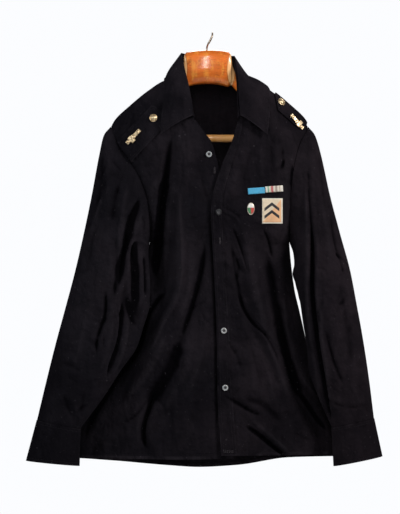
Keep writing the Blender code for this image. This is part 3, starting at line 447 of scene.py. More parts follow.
LEAF_RISE = 3.0
STAND_WALL = 2.2
STAND_DROP = 6.0
STAND_IN = 1.6
STAND_GAP = 1.3
STAND_START = 0.012
NECK_TURN = 0.30
FLAT_REACH = 0.75

# Placket and shoulder straps
BAND_LIFT = 0.5
BAND_WALL = 1.2
BAND_TOP = 6.0
BAND_HIGH = 655.0
BAND_STEPS = 14
STRAP_WALL = 2.0
STRAP_LIFT = 1.4
STRAP_POINT = 0.12
STRAP_CLEAR = 3.0
STRAP_SHOULDER = 192.0
STRAP_RIGHT = {"tip": (-97, -154), "end": (-176, -237), "wide": 46}
STRAP_LEFT = {"tip": 121, "back": 0.24, "front": 0.69}

# Grids: how many steps down and across each piece of cloth
FRONT_STEPS = (190, 84)
BACK_STEPS = (190, 140)
SLEEVE_STEPS = (200, 132)
CUFF_STEPS = (26, 132)
LEAF_STEPS = (34, 190)
STAND_STEPS = (14, 160)
STRAP_STEPS = (20, 40)
ROW_CROWDING = 1.25

# Sewing: how far in from its edge a line runs, its stitches and their thread
SEAM_DEPTH = 2.6
SEAM_STEPS = (8.0, 5.5, 3.0, 0.6, -0.6)
SEAM_WALL = 1.0
STITCH_LONG = 2.6
STITCH_PITCH = 3.4
STITCH_THICK = 0.34
STITCH_SINK = 0.06
EDGE_LINE = 6.0
HEM_LINE = 10.0
FOOT_LINES = (6.5, 8.5, 10.5)
STRAP_LINE = 5.0
HEM_STEP = 0.6
HEM_TRIM = 2.0
BAND_TRIM = 3.0
FOOT_TRIM = 4.0
LEAF_TRIM = 6.0
STRAP_TRIM = 5.0
STITCH_SIDES = ((1, 2), (2, 3), (3, 4), (4, 1))
STITCH_END = 5
BORDERS = ("top", "low", "first", "last")
EDGE_FAR = 40.0

# Sheets: width and length of each cut, laid flat, in metres
FLAT = {
    "front_left": (0.29, 0.80),
    "front_right": (0.32, 0.80),
    "back": (0.58, 0.82),
    "placket": (0.034, 0.70),
    "sleeve": (0.46, 0.66),
    "seam": (0.56, 0.010),
    "cuff": (0.26, 0.085),
    "collar_leaf": (0.46, 0.085),
    "collar_stand": (0.42, 0.055),
    "strap": (0.13, 0.06),
}

# Looks, their colours linear: noises are (scale, detail, roughness), stretched ones (scale by
# axis, detail, roughness), bumps are (distance, strength), and a pair such as ridge or rim is
# where a mark begins and where it is full
TWILL = SimpleNamespace(
    shader={"Sheen Weight": 0.006, "Sheen Roughness": 0.4, "Sheen Tint": (0.80, 0.74, 0.86, 1.0),
            "Specular IOR Level": 0.012},
    rib_slant=1.9, rib_rate=5200.0, rib_height=0.6,
    yarn_across=0.9, yarn_down=1.3, yarn_rate=7400.0, yarn_height=0.25,
    cloud=(7.0, 4.0, 0.6), cloud_middle=0.5, cloud_dark=(0.60, 0.40), cloud_share=0.42,
    patch=(30.0, 3.0, 0.55),
    nap=(900.0, 2.0, 0.6), nap_height=0.5,
    streak=((90.0, 90.0, 14.0), 3.0, 0.6),
    # Painted light: the twill warmer and brighter towards the wearer's left, where the key light falls, and
    # cooler towards the wearer's right, mixed with random clouding
    warm_across=1.5, warm_cloud=1.8, warm_start=0.42,
    tone_patch=0.5, tone_streak=0.45, tone_nap=0.3, tone_rib=0.08,
    tone_start=0.33, tone_spread=1.6, tone_share=0.66,
    # Painted shade: the twill darker lower down the shirt and towards the wearer's right, where less light
    # falls
    painted_shade_low=(0.60, 0.76), painted_shade_low_share=0.26, painted_shade_right=(0.11, 0.24), painted_shade_right_share=0.14,
    # Painted shade darkens the twill in crease troughs; crease ridges get a painted highlight, with some
    # rubbed wear
    trough=(0.0001, 0.0042), trough_shade_share=0.95,
    ridge=(0.0003, 0.0036), ridge_highlight_share=0.2,
    worn_edge=(0.0005, 0.0035), worn_patch=(0.4, 0.62), worn_share=0.3,
    lint=(310.0, 1.0, 0.4), lint_start=0.765, lint_edge=(0.0, 0.03), lint_share=0.35,
    groove=(0.0002, 0.0016), groove_bump=(0.0004, 0.8),
    pucker=(210.0, 2.0, 0.5), pucker_edge=(0.004, 0.016), pucker_height=0.06,
    wave=((20.0, 20.0, 9.0), 3.0, 0.5),
    crumple=(48.0, 3.0, 0.5), crumple_height=0.5,
    soft_bump=(0.017, 0.9), weave_bump=(0.00016, 0.5),
    rough=0.80, rough_patch=0.16, rough_worn=0.1,
)
# The darkest twill, for random dark tone and for painted shade; then the paler twill, for rubbed wear near
# edges and for a painted highlight on ridges
TWILL_DEEP = (0.0010, 0.0008, 0.0013)
TWILL_WORN_AND_HIGHLIT = (0.0260, 0.0222, 0.0265)
LINT_COLOUR = (0.11, 0.10, 0.11)
THREAD = SimpleNamespace(shader={"Roughness": 0.7, "Specular IOR Level": 0.18},
                         speck=(2600.0, 1.0, 0.5), bump=(0.0002, 0.5))
PLASTIC = SimpleNamespace(shader={}, speck=(900.0, 3.0, 0.6), rough_speck=0.15, bump=(0.0002, 0.4))
SPECK_DARK = 0.6
SPECK_PALE = 1.5
THREAD_DARK = (0.013, 0.011, 0.014)
THREAD_PALE = (0.09, 0.08, 0.085)
SOCKET_COLOUR = (0.05, 0.05, 0.055)
SOCKET_ROUGH = 0.4
# The chest button alone is drawn dark
DARKER_BUTTON_COLOUR = (0.010, 0.009, 0.011)
DARKER_BUTTON_ROUGH = 0.2
RIBBON = SimpleNamespace(
    shader={"Sheen Weight": 0.15},
    span=0.0345, blur=0.008,
    grime=(160.0, 4.0, 0.6), grime_start=0.42, grime_share=0.9, grime_colour=(0.12, 0.11, 0.10),
    rib_rate=7000.0, rib_height=0.7, warp_rate=5200.0, warp_height=0.3, bump=(0.00025, 0.7),
    rough=0.5, rough_grime=0.3,
)
EMBLEM = SimpleNamespace(
    shader={"Roughness": 0.75, "Sheen Weight": 0.12},
    blur=0.012, cream=(0.80, 0.66, 0.47), peach=(0.84, 0.48, 0.25),
    slope=0.62, reach=(0.365, 0.375), heights=(0.27, -0.03), half=(0.060, 0.070),
    dark=(0.012, 0.012, 0.016), mark_height=1.4,
    rim=(0.462, 0.472), rim_colour=(0.80, 0.74, 0.62), rim_height=1.6,
    grime=(120.0, 4.0, 0.65), grime_start=0.45, grime_share=0.8, grime_colour=(0.20, 0.16, 0.12),
    rib_rate=6500.0, bump=(0.0003, 0.8),
)
ENAMEL = SimpleNamespace(
    shader={"Coat Weight": 0.5, "Coat Roughness": 0.08},
    lean=0.1, split=0.18, blur=0.04,
    green=(0.06, 0.20, 0.09), red=(0.50, 0.06, 0.05), white=(0.72, 0.70, 0.64),
    ring=(0.70, 0.74), brass=(0.50, 0.44, 0.36), metallic=0.7,
    dirt=(700.0, 3.0, 0.6), dirt_start=0.5, dirt_colour=(0.08, 0.07, 0.06),
    rough=0.22, rough_dirt=0.3, bump=(0.0004, 0.8),
)
BRASS = SimpleNamespace(
    grime=(420.0, 4.0, 0.65), grime_start=0.34, grime_spread=2.4,
    bright=(0.90, 0.72, 0.46), dull=(0.22, 0.14, 0.06),
    fine=(2600.0, 2.0, 0.6), fine_height=0.4,
    rough=0.24, rough_grime=0.35, bump=(0.0002, 0.5),
)
PEARL = SimpleNamespace(
    shader={"Coat Weight": 0.4, "Coat Roughness": 0.1, "Subsurface Weight": 0.05},
    swirl=((120.0, 260.0, 190.0), 4.0, 0.6), dark=(0.10, 0.11, 0.12), pale=(0.44, 0.44, 0.43),
    rough=0.2, rough_swirl=0.15, bump=(0.00015, 0.4),
)
WOOD = SimpleNamespace(
    shader={"Coat Weight": 0.8, "Coat Roughness": 0.15, "Specular IOR Level": 0.16},
    warp=(14.0, 3.0, 0.5),
    grain=((9.0, 130.0, 130.0), 5.0, 0.62), grain_height=0.5,
    rings=((4.0, 60.0, 34.0), 2.0, 0.5), band_rate=26.0, band_warp=5.0,
    light=1.5, light_start=0.01, deep=0.5,
    shade_grain=0.6, shade_bands=0.3, shade_mottle=0.5, shade_start=0.32,
    stain=((70.0, 70.0, 26.0), 3.0, 0.6), stain_edge=(0.48, 0.64), stain_share=0.5,
    stain_colour=(0.86, 0.36, 0.05),
    mark_share=0.55,
    mottle=(64.0, 4.0, 0.7), mottle_edge=(0.56, 0.70), mottle_colour=(0.26, 0.065, 0.006),
    mottle_height=0.5,
    pores=((60.0, 900.0, 900.0), 2.0, 0.5), pores_edge=(0.60, 0.70), pores_colour=(0.10, 0.025, 0.006),
    pores_height=0.3,
    facet=(0.86, 1.0), facet_share=0.8, facet_colour=(0.92, 0.55, 0.24),
    rim_in=(0.78, 0.92), rim_out=(1.0, 1.2), rim_share=0.45, rim_colour=(0.34, 0.10, 0.012),
    rough=0.34, rough_mottle=0.2, bump=(0.0005, 0.2),
)
# The bar's wood is paler and brighter than the block's: painted light, as little light reaches it inside
# the collar
BAR_LIT_COLOUR = (1.0, 0.36, 0.11)
BAR_STAINED = 0.1
HOOK = SimpleNamespace(
    rust=(320.0, 4.0, 0.65), rust_edge=(0.45, 0.62), bright=(0.55, 0.46, 0.36), brown=(0.20, 0.11, 0.06),
    scratch=((900.0, 900.0, 60.0), 2.0, 0.5), scratch_height=0.5,
    rough=0.28, rough_rust=0.3, bump=(0.00015, 0.5),
)
FLOOR = SimpleNamespace(rough=0.9, cloud=(1.5, 2.0, 0.5),
                        colours=((0.78, 0.79, 0.80), (0.84, 0.84, 0.84)))
BLUE_BANDS = ((0, (0.045, 0.30, 0.50)), (0.02, (0.05, 0.36, 0.58)))
STRIPED_BANDS = (
    (0.00, (0.68, 0.64, 0.56)),
    (0.15, (0.10, 0.34, 0.20)),
    (0.21, (0.66, 0.58, 0.46)),
    (0.34, (0.52, 0.12, 0.12)),
    (0.47, (0.68, 0.62, 0.52)),
    (0.58, (0.34, 0.27, 0.22)),
    (0.70, (0.66, 0.60, 0.50)),
    (0.80, (0.50, 0.42, 0.33)),
    (0.88, (0.68, 0.64, 0.56)),
)

# The wood's lower middle, set wider than its solid, its raised left underside, and two paler lens patches
# with darker rims on the block's front, in metres: their middle and half width, height, and how deep and
# low they reach
BLOCK_MIDDLE = -30.0
BLOCK_HALF = 23.0
BLOCK_FADE = 22.0
BLOCK_LOW = -122.0
BLOCK_RISE = 40.0
BLOCK_WIDER = 5.0
BLOCK_HIGHER = 2.5
UNDER_START = 28.0
UNDER_END = 72.0
UNDER_RUN = 14.0
UNDER_TOP = -92.0
UNDER_HIGHER = 11.0
FACETS = ((-0.0558, 0.0066), (0.0365, 0.0082))
FACET_Z = -0.070
FACET_HIGH = 0.037
FACET_LOW = -0.106
FACET_DEEP = 0.004

# Badges, in the front's own plane
RIBBON_BLUE = {"x": 85, "z": -308, "wide": 33, "high": 12, "turn": 4, "thick": 2.0, "rim": 2.0}
RIBBON_STRIPED = {"x": 119.5, "z": -304.5, "wide": 34, "high": 12, "turn": 4, "thick": 2.0, "rim": 2.0}
PATCH = {"x": 116, "z": -347, "wide": 39.5, "high": 49, "turn": 0, "thick": 2.0, "rim": 1.2}
OVAL = {"x": 74.5, "z": -343, "wide": 14.6, "high": 24}
BADGE_LIFT = 1.0
BADGE_STEPS = (14, 40)
CROWN_RIM = 0.25
FACING_STEP = 4.0

# Buttons: across and up, what lies under each and its gap; pins: their middle and their run;
# stitches of their own: thickness, pitch and length
ON_BAND = BAND_LIFT + BAND_WALL
ON_STRAP = STRAP_LIFT + STRAP_WALL
BUTTONS = (
    ("button_neck", -7, -237, 0.0, 0.5),
    ("button_chest", 12, -349, ON_BAND, 0.2),
    ("button_waist", 22, -580, ON_BAND, 0.5),
    ("button_hem", 24, -691, ON_BAND, 0.9),
)
STRAP_BUTTONS = (
    ("strap_button_right", -114, -167, ON_STRAP, 0.4),
    ("strap_button_left", 133, -136, ON_STRAP, 0.4),
)
PINS = (
    ("pin_right", -153, -204, -27, -29),
    ("pin_left", 163, -174, 27, -29),
)
PIN_GAP = 0.5
DARK_BUTTON = "button_chest"
BUTTONHOLES = ((4, -268), (14.5, -405))
BUTTONHOLE_LONG = 13.0
BUTTONHOLE_SIDES = (-0.9, 0.9)
BUTTONHOLE_SPOTS = 9
BUTTONHOLE_STITCH = (0.42, 0.9, 1.1)
CUFF_BUTTON_TURN = 0.85
CUFF_BUTTON_GAP = 0.4
THREAD_HALF = 1.6
THREAD_RISE = 1.5
THREAD_STITCH = (0.42, 4.0, 3.6)

# Turned pieces, in metres: each step of their front is how far in, in radii, and how far up;
# a side faces out from FACING_OUT of its full length
FACING_OUT = 0.9
CUTTER_LONG = 0.02
CUTTER_SIDES = 16
BUTTON_DEEP = 0.0016
BUTTON_TURNS = ((0.10, 0.0006), (0.12, 0.0003), (0.12, 0.0), (0.10, -0.0004), (0.06, -0.0007))
BUTTON_HOLES = ((0.17, 0.17), (-0.17, 0.17), (-0.17, -0.17), (0.17, -0.17))
BUTTON_HOLE = 0.10
BUTTON_BEVEL = 0.00012
SOCKET_REACH = 0.52
SOCKET_BACK = 0.0004
BRASS_RADIUS = 0.0078
BRASS_DEEP = 0.0011
BRASS_TURNS = ((0.05, 0.0004), (0.05, 0.0), (0.05, -0.0005), (0.05, 0.0003), (0.08, 0.0010), (0.09, 0.0007),
               (0.10, 0.0005), (0.06, -0.0004), (0.05, 0.0), (0.05, 0.0006), (0.12, 0.0003))
BRASS_BEVEL = 0.0002
TURNED_SIDES = 56

# Pins, in metres, a plate's size in steps of BLOCK_SIZE: a flat bar, a cross plate and three
# bosses, by place along the bar and radius
BLOCK_SIZE = 0.001
PIN_BAR = {"place": (0.0, 0.0, 0.0009), "size": (36.0, 7.6, 1.6)}
PIN_BAR_TURNS = ((0.0008, 0.0006), (0.0006, -0.0003))
PIN_END = (0.0004, 0.0008)
PIN_CROSS = {"place": (0.006, 0.0012, 0.0012), "size": (8.0, 15.0, 2.0)}
PIN_CROSS_TURNS = ((0.0010, 0.0005),)
BOSSES = ((-0.0125, 0.0036), (0.0, 0.0046), (0.0125, 0.0036))
BOSS_DEEP = 0.0020
BOSS_TURNS = ((0.10, 0.0004), (0.12, 0.0), (0.10, -0.0004), (0.10, 0.0005), (0.20, 0.0005))
BOSS_SIDES = 32
PIN_BEVEL = 0.00022

# Hanger: how a solid is made finer, and the bar's ends, in metres
MERGE_RUN = 0.00001
FLAT_ANGLE = math.radians(60)
CREASE_ANGLE = math.radians(24)
FINER_LEVELS = 2
WOOD_CREASE = 0.9
OVAL_CREASE = 0.7
BEVEL_ANGLE = math.radians(35)
SMOOTH_ANGLE = math.radians(40)
BAR_SIDES = 64
BAR_END_TURNS = ((0.0012, 0.0), (0.0015, 0.0002))
BAR_BEVEL = 0.0006

# Stage, in metres: a lamp's power setting and its share, its width and height, place and colour
FLOOR_RADIUS = 1.9
FLOOR_SIDES = 96
FLOOR_PLACE = (0.0, 0.1, -1.45)
LAMP_AIM = (0.0, 0.0, -0.42)
LAMPS = (
    ("key", "key_power", 1.0, (0.8, 0.8), (2.4, -1.6, 1.2), (1.0, 0.96, 0.96)),
    ("fill", "fill_power", 1.0, (1.2, 1.2), (-2.5, -1.3, 0.8), (0.90, 0.95, 1.0)),
    ("front", "fill_power", 1.3, (0.22, 2.8), (-0.20, -3.1, 1.1), (1.0, 1.0, 1.0)),
    ("rim", "fill_power", 1.0, (1.5, 1.5), (0.4, 2.4, 1.2), (1.0, 1.0, 1.0)),
)
SKY = {"Color": (0.92, 0.95, 1.0, 1.0), "Strength": 0.14}
BACKDROP = {"Color": (0.97, 0.98, 1.0, 1.0), "Strength": 1.0}
SENSOR_WIDE = 36.0

# The photograph's frame, in metres at the shirt's front
VIEW_HIGH = 1.0023
VIEW_X = -0.0244
VIEW_Z = -0.4368
VIEW_FRONT = -0.03

# Sockets of a Mix node that blends colours: its factor, its two colours and its result
MIX_SLOTS = (0, 6, 7)
MIX_COLOUR = 2


def even(steps):
    return np.linspace(0, 1, steps + 1)


def turns(columns):
    """Even places round a ring, its start only once."""
    return (np.arange(columns) / columns)[None, :]


def eased(value):
    value = np.clip(value, 0.0, 1.0)
    return value * value * (3 - 2 * value)


def unit(vectors):
    length = np.linalg.norm(vectors, axis=-1, keepdims=True)
    return vectors / np.maximum(length, TINY)


def ridge_height(x):
    return RIDGE.read("z", np.abs(x - RIDGE_MIDDLE))


def armhole_depth(z):
    share = np.clip((ARMHOLE_TOP - z) / (ARMHOLE_TOP - ARMHOLE_LOW), 0.0, 1.0)
    return ARMHOLE_DEPTH * 2 * np.sqrt(share * (1 - share))


def fold_height(folds, x, z):
    """How far all the folds together lift the cloth at each place."""
    total = np.zeros_like(x)
    for x1, a, x2, b, x3, c, width, height in folds:
        middle = np.clip(z, c, a)
        line = (x1 * (middle - b) * (middle - c) / ((a - b) * (a - c))
                + x2 * (middle - a) * (middle - c) / ((b - a) * (b - c))
                + x3 * (middle - a) * (middle - b) / ((c - a) * (c - b)))
        lean = math.hypot(1.0, (x3 - x1) / (c - a))
        fade = eased((z - c + FOLD_END) / (2 * FOLD_END)) * eased((a + FOLD_END - z) / (2 * FOLD_END))
        total += height * fade * np.exp(-((x - line) / (lean * width)) ** 2)
    return total


def line_through(places):
    """A smooth line by the given places: its corners are cut twice."""
    line = np.array(places, float)
    for _ in range(2):
        near = line[:-1] * (1 - CORNER_CUT) + line[1:] * CORNER_CUT
        far = line[:-1] * CORNER_CUT + line[1:] * (1 - CORNER_CUT)
        cut = np.stack([near, far], 1).reshape(-1, 2)
        line = np.concatenate([line[:1], cut[1:-1], line[-1:]])
    return line


def small_creases(seed, count, low, high):
    """Short creases strewn over a piece, most of them running down it."""
    draw = np.random.default_rng(seed)
    found = []
    for _ in range(count):
        start = draw.uniform(low, high)
        swing = draw.normal(0.0, SMALL_SWING)
        run = np.array([math.sin(swing), -math.cos(swing)]) * draw.uniform(*SMALL_LENGTH)
        bend = np.array([run[1], -run[0]]) * draw.uniform(*SMALL_BEND)
        found.append((draw.uniform(*SMALL_WIDTH), draw.uniform(*SMALL_HEIGHT), 0.0,
                      tuple(start), tuple(start + run / 2 + bend), tuple(start + run)))
    return tuple(found)


def crease_field(creases, x, z):
    """The creases: each a trough or ridge along a line, with a soft lip and tapered ends."""
    total = np.zeros_like(x)
    for width, height, lean, *places in creases:
        line = line_through(places)
        margin = CREASE_MARGIN * width
        low, high = line.min(0) - margin, line.max(0) + margin
        near = (x > low[0]) & (x < high[0]) & (z > low[1]) & (z < high[1])
        if not near.any():
            continue
        spots = np.stack([x[near], z[near]], -1)
        steps = np.diff(line, axis=0)
        lengths = np.linalg.norm(steps, axis=-1)
        before = np.append(0.0, np.cumsum(lengths))
        best = np.full(len(spots), FAR)
        side = np.zeros(len(spots))
        place = np.zeros(len(spots))
        for start, step, length, run in zip(line, steps, lengths, before):
            share = np.clip((spots - start) @ step / length ** 2, 0, 1)
            off = spots - start - share[:, None] * step
            apart = np.hypot(off[:, 0], off[:, 1])
            nearer = apart < best
            best = np.where(nearer, apart, best)
            turn = off[:, 0] * step[1] - off[:, 1] * step[0]
            side = np.where(nearer, np.clip(turn / (length * width), -1, 1), side)
            place = np.where(nearer, run + share * length, place)
        whole = before[-1]
        taper = eased(place / (CREASE_TAPER * whole)) * eased((whole - place) / (CREASE_TAPER * whole))
        wide = width * (1 + lean * side) * (CREASE_POINT + (1 - CREASE_POINT) * taper)
        trough = np.exp(-(best / wide) ** CREASE_POWER)
        lip = np.exp(-((best - LIP_OUT * wide) / (LIP_WIDE * wide)) ** 2)
        total[near] += height * taper * (trough - LIP_SHARE * lip)
    return total


BESIDE_LINE = tuple((EDGE_LEFT.read("x", z) - BESIDE_RUN, z) for z in BESIDE_HEIGHTS)
SMALL_FRONT = small_creases(FRONT_SEED, SMALL_ON_BODY, *BODY_BOX) + (BESIDE_PLACKET + BESIDE_LINE,)
SMALL_BACK = small_creases(BACK_SEED, SMALL_ON_BODY, *BODY_BOX)


def body_y(x, z, front, creased=True):
    """The outer side's depth at places of the front or the back."""
    x, z = np.broadcast_arrays(np.asarray(x, float), np.asarray(z, float))
    left = LEVELS.read("left", z)
    right = LEVELS.read("right", z)
    across = np.clip((2 * x - left - right) / (right - left), -1.0, 1.0)
    full = LEVELS.read("front" if front else "back", z)
    hole = np.minimum(armhole_depth(z), full)
    rounding = (1 - np.abs(across) ** SIDE_ROUNDNESS) ** (1 / SIDE_ROUNDNESS)
    swell = hole + (full - hole) * rounding
    fall = SHOULDER_FALL
    if not front:
        share = eased((np.abs(x - RIDGE_MIDDLE) - NECK_FALL_OUT) / NECK_FALL_RUN)
        fall = NECK_FALL + (SHOULDER_FALL - NECK_FALL) * share
    below = np.clip((ridge_height(x) - z) / fall, 0.0, 1.0)
    closing = np.sqrt(1 - (1 - below) ** 2)
    folds = fold_height(FRONT_FOLDS if front else BACK_FOLDS, x, z)
    if creased:
        creases = FRONT_CREASES + SMALL_FRONT if front else BACK_CREASES + SMALL_BACK
        folds = folds + crease_field(creases, x, z)
    swell = swell + folds * (1 - np.abs(across) ** FOLD_EDGE_POWER)
    away = closing * swell + SEAM / 2
    middle = LEVELS.read("middle", z)
    return middle - away if front else middle + away


def grid_of(x, y, z):
    return np.stack(np.broadcast_arrays(x, y, z), -1)


def front_edge(z, left_side):
    if left_side:
        return EDGE_LEFT.read("x", z)
    lapped = EDGE_LEFT.read("x", z) + UNDERLAP
    free = EDGE_RIGHT_OPEN.read("x", z)
    return free + (lapped - free) * eased((OPEN_LOW - z) / (2 * UNDERLAP))


def front_top(share, left_side):
    """The top edge of a front: its neckline, then the ridge out to the shoulder's tip."""
    neck = NECK_LEFT if left_side else NECK_RIGHT
    end = neck.rows[-1][1]
    tip = TIP_LEFT if left_side else TIP_RIGHT
    out = end + (tip - end) * (share - NECK_ALONG) / (1 - NECK_ALONG)
    on_neck = share <= NECK_ALONG
    x = np.where(on_neck, neck.read("x", share), out)
    z = np.where(on_neck, neck.read("z", share), ridge_height(out))
    return x, z


def front_x(top_x, top_z, share, z, left_side):
    side = "right" if left_side else "left"

    def straight(height):
        edge = front_edge(height, left_side)
        return edge + (LEVELS.read(side, height) - edge) * share

    fade = (1 - np.clip((top_z - z) / TOP_FADE, 0.0, 1.0)) ** 2
    return straight(z) + (top_x - straight(top_z)) * fade


def row_shares(steps):
    return (np.arange(steps + 1) / steps)[:, None] ** ROW_CROWDING


def front_grid(left_side, shares, down):
    """Points over one front: shares run across from its edge, down from its top."""
    top_x, top_z = front_top(shares, left_side)
    z = top_z + (HEM_FRONT.read("z", top_x) - top_z) * down
    x = front_x(top_x, top_z, shares, z, left_side)
    y = body_y(x, z, True)
    if not left_side:
        y = y + TUCK * eased((x - EDGE_LEFT.read("x", z) + TUCK_RUN) / TUCK_RUN)
    grid = grid_of(x, y, z)
    return grid if left_side else grid[:, ::-1]


def back_top(x):
    out = np.abs(x - RIDGE_MIDDLE) / BACK_NECK_OUT
    return ridge_height(x) - BACK_NECK_DIP * eased(BACK_NECK_SPREAD * (1 - out))


def back_grid():
    rows, columns = BACK_STEPS
    level = even(columns)[None, :]
    share = (0.5 - 0.5 * np.cos(np.pi * level) + level) / 2
    start = TIP_RIGHT + (TIP_LEFT - TIP_RIGHT) * share
    top = back_top(start)
    hem = HEM_BACK.read("z", start * LEVELS.rows[0][1] / TIP_RIGHT)
    z = top + (hem - top) * row_shares(rows)
    left = LEVELS.read("left", z)
    x = left + (LEVELS.read("right", z) - left) * share
    return grid_of(x, body_y(x, z, False), z)[:, ::-1]


def ring_points(ring, turn):
    """Points on flattened rings; turn runs from the outer line over the front."""
    outer_x, outer_z, inner_x, inner_z, y, half = ring
    angle = 2 * np.pi * turn
    share = (1 - np.cos(angle)) / 2
    return grid_of(outer_x + (inner_x - outer_x) * share, y - half * np.sin(angle),
                   outer_z + (inner_z - outer_z) * share)


def swollen(points, ring, height):
    """Points moved out from the middle of their ring."""
    middle = (ring_points(ring, 0.0) + ring_points(ring, 0.5)) / 2
    return points + unit(points - middle) * height


def rings_at(rings, along):
    return [rings.read(name, along) for name in RING_NAMES.split()[1:]]


def ring_creases(creases, along, turn):
    total = np.zeros(np.broadcast(along, turn).shape)
    for along1, turn1, along2, turn2, width, height in creases:
        share = (along - along1) / (along2 - along1)
        line = turn1 + (turn2 - turn1) * np.clip(share, 0.0, 1.0)
        fade = eased((share + CREASE_END) / (2 * CREASE_END))
        fade = fade * eased((1 + CREASE_END - share) / (2 * CREASE_END))
        off = (turn - line + 0.5) % 1.0 - 0.5
        total += height * fade * np.exp(-(off / width) ** 2)
    return total


def armhole_points(turn, left_side):
    share = (1 - np.cos(2 * np.pi * turn)) / 2
    z = ARMHOLE_TOP + (ARMHOLE_LOW - ARMHOLE_TOP) * share
    x = LEVELS.read("right" if left_side else "left", z)
    x = x + (ARMHOLE_STEP if left_side else -ARMHOLE_STEP)
    y = LEVELS.read("middle", z) - ARMHOLE_DEPTH * np.sin(2 * np.pi * turn)
    return grid_of(x, y, z)


def sleeve_grid(rings, creases, seen, left_side):
    """Points over a sleeve, and how far its creases lift or sink each."""
    rows, columns = SLEEVE_STEPS
    along = even(rows)[:, None]
    turn = turns(columns)
    ring = rings_at(rings, along)
    points = ring_points(ring, turn)
    fade = (1 - np.clip(along / ARMHOLE_BLEND, 0.0, 1.0)) ** 2
    first = ring_points(rings_at(rings, np.zeros((1, 1))), turn)
    points = points + (armhole_points(turn, left_side) - first) * fade[..., None]
    calm = eased(along / CREASE_FREE_TOP) * eased((1 - along) / CREASE_FREE_LOW)
    facing_front = eased(np.sin(2 * np.pi * turn) * FRONT_REACH)
    facing_back = eased(-np.sin(2 * np.pi * turn) * FRONT_REACH)
    low, high = SLEEVE_LEFT_BOX if left_side else SLEEVE_RIGHT_BOX
    seen = seen + small_creases(SLEEVE_FRONT_SEED + left_side, SMALL_ON_SLEEVE, low, high)
    behind = small_creases(SLEEVE_BACK_SEED + left_side, SMALL_ON_SLEEVE, low, high)
    across, down = points[..., 0], points[..., 2]
    height = ring_creases(creases, along, turn) + crease_field(seen, across, down) * facing_front
    height = (height + crease_field(behind, across, down) * facing_back) * calm
    points = swollen(points, ring, height[..., None])
    return (points[:, ::-1], height[:, ::-1]) if left_side else (points, height)


def cuff_grid(rings, end, left_side):
    rows, columns = CUFF_STEPS
    share = even(rows)[:, None]
    turn = turns(columns)
    start = rings_at(rings, np.ones((1, 1)))
    ring = [a * (1 - share) + b * share for a, b in zip(start, end)]
    points = swollen(ring_points(ring, turn), ring, CUFF_SWELL)
    points[..., 2] -= CUFF_STEP
    return points[:, ::-1] if left_side else points


def collar_place(turn, part):
    return grid_of(*(COLLAR.read(f"{part}_{axis}", turn) for axis in "xyz"))


def from_neck(points):
    """The level way from the neck's middle to each point."""
    away = points - np.array([RIDGE_MIDDLE, 0.0, 0.0])
    away[..., 2] = 0.0
    return unit(away)


def held_off(points, lift):
    """Points kept at least their lift off the shoulders and the body."""
    x, y, z = points[..., 0], points[..., 1], points[..., 2]
    top = ridge_height(x)
    front = y < LEVELS.read("middle", z)
    full = np.where(front, LEVELS.read("front", top), LEVELS.read("back", top))
    reach = np.abs(y) / full
    flat = reach < FLAT_REACH
    roof = top - SHOULDER_FALL * (1 - np.sqrt(1 - np.minimum(reach, FLAT_REACH) ** 2))
    new_z = np.where(flat, np.maximum(z, roof + lift), z)
    before = np.minimum(y, body_y(x, z, True, False) - lift)
    behind = np.maximum(y, body_y(x, z, False, False) + lift)
    new_y = np.where(~flat & (z < top), np.where(front, before, behind), y)
    return grid_of(x, new_y, new_z)


def leaf_grid():
    """The fall of the collar, from its fold at the neck down to its outer edge."""
    rows, columns = LEAF_STEPS
    share = even(rows)[:, None]
    turn = even(columns)[None, :]
    fold = collar_place(turn, "fold")
    edge = collar_place(turn, "edge")
    away = from_neck(fold)
    away[..., 2] = 1.0
    bulge = (COLLAR.read("bulge", turn) * 4 * share * (1 - share))[..., None]
    points = fold + (edge - fold) * share[..., None] + away * bulge
    return held_off(points, (LEAF_LIFT + LEAF_WALL) * eased(LEAF_RISE * share))[:, ::-1]


def neck_seam(turn):
    """The neckline of the fronts and the back, where the collar's stand is sewn on."""
    right, left = NECK_RIGHT.rows[-1][1], NECK_LEFT.rows[-1][1]
    back_x = right + (left - right) * (turn - NECK_TURN) / (1 - 2 * NECK_TURN)
    back_z = back_top(back_x)
    back_y = body_y(back_x, back_z, False, False)
    along = NECK_ALONG * np.minimum(turn, 1 - turn) / NECK_TURN
    right_x, right_z = front_top(np.minimum(along, NECK_ALONG), False)
    left_x, left_z = front_top(np.minimum(along, NECK_ALONG), True)
    front_x = np.where(turn > 0.5, left_x, right_x)
    front_z = np.where(turn > 0.5, left_z, right_z)
    front_y = body_y(front_x, front_z, True, False)
    behind = (turn > NECK_TURN) & (turn < 1 - NECK_TURN)
    return grid_of(np.where(behind, back_x, front_x), np.where(behind, back_y, front_y),
                   np.where(behind, back_z, front_z))


def stand_grid():
    rows, columns = STAND_STEPS
    share = even(rows)[:, None, None]
    turn = STAND_START + (1 - 2 * STAND_START) * even(columns)[None, :]
    seam = neck_seam(turn)
    fold = collar_place(turn, "fold")
    fold = fold - from_neck(fold) * STAND_IN
    fold[..., 2] -= STAND_DROP
    start = seam + unit(fold - seam) * STAND_GAP
    return start + (fold - start) * share


def strap_over_grid(strap):
    """The left strap, over the shoulder's ridge, counted in shares of the shoulder's fall."""
    rows, columns = STRAP_STEPS
    across = 1 - 2 * even(rows)[:, None]
    share = (strap["back"] - strap["front"]) / 2 + across * (strap["back"] + strap["front"]) / 2
    down = SHOULDER_FALL * (1 - np.sqrt(1 - share ** 2))
    end = LEVELS.read("right", RIDGE.read("z", STRAP_SHOULDER) - down) - STRAP_CLEAR
    start = strap["tip"] + (end - strap["tip"]) * STRAP_POINT * across ** 2
    x = start + (end - start) * even(columns)[None, :]
    z = ridge_height(x) - down
    y = np.where(share <= 0, body_y(x, z, True, False), body_y(x, z, False, False))
    return grid_of(x, y, z)


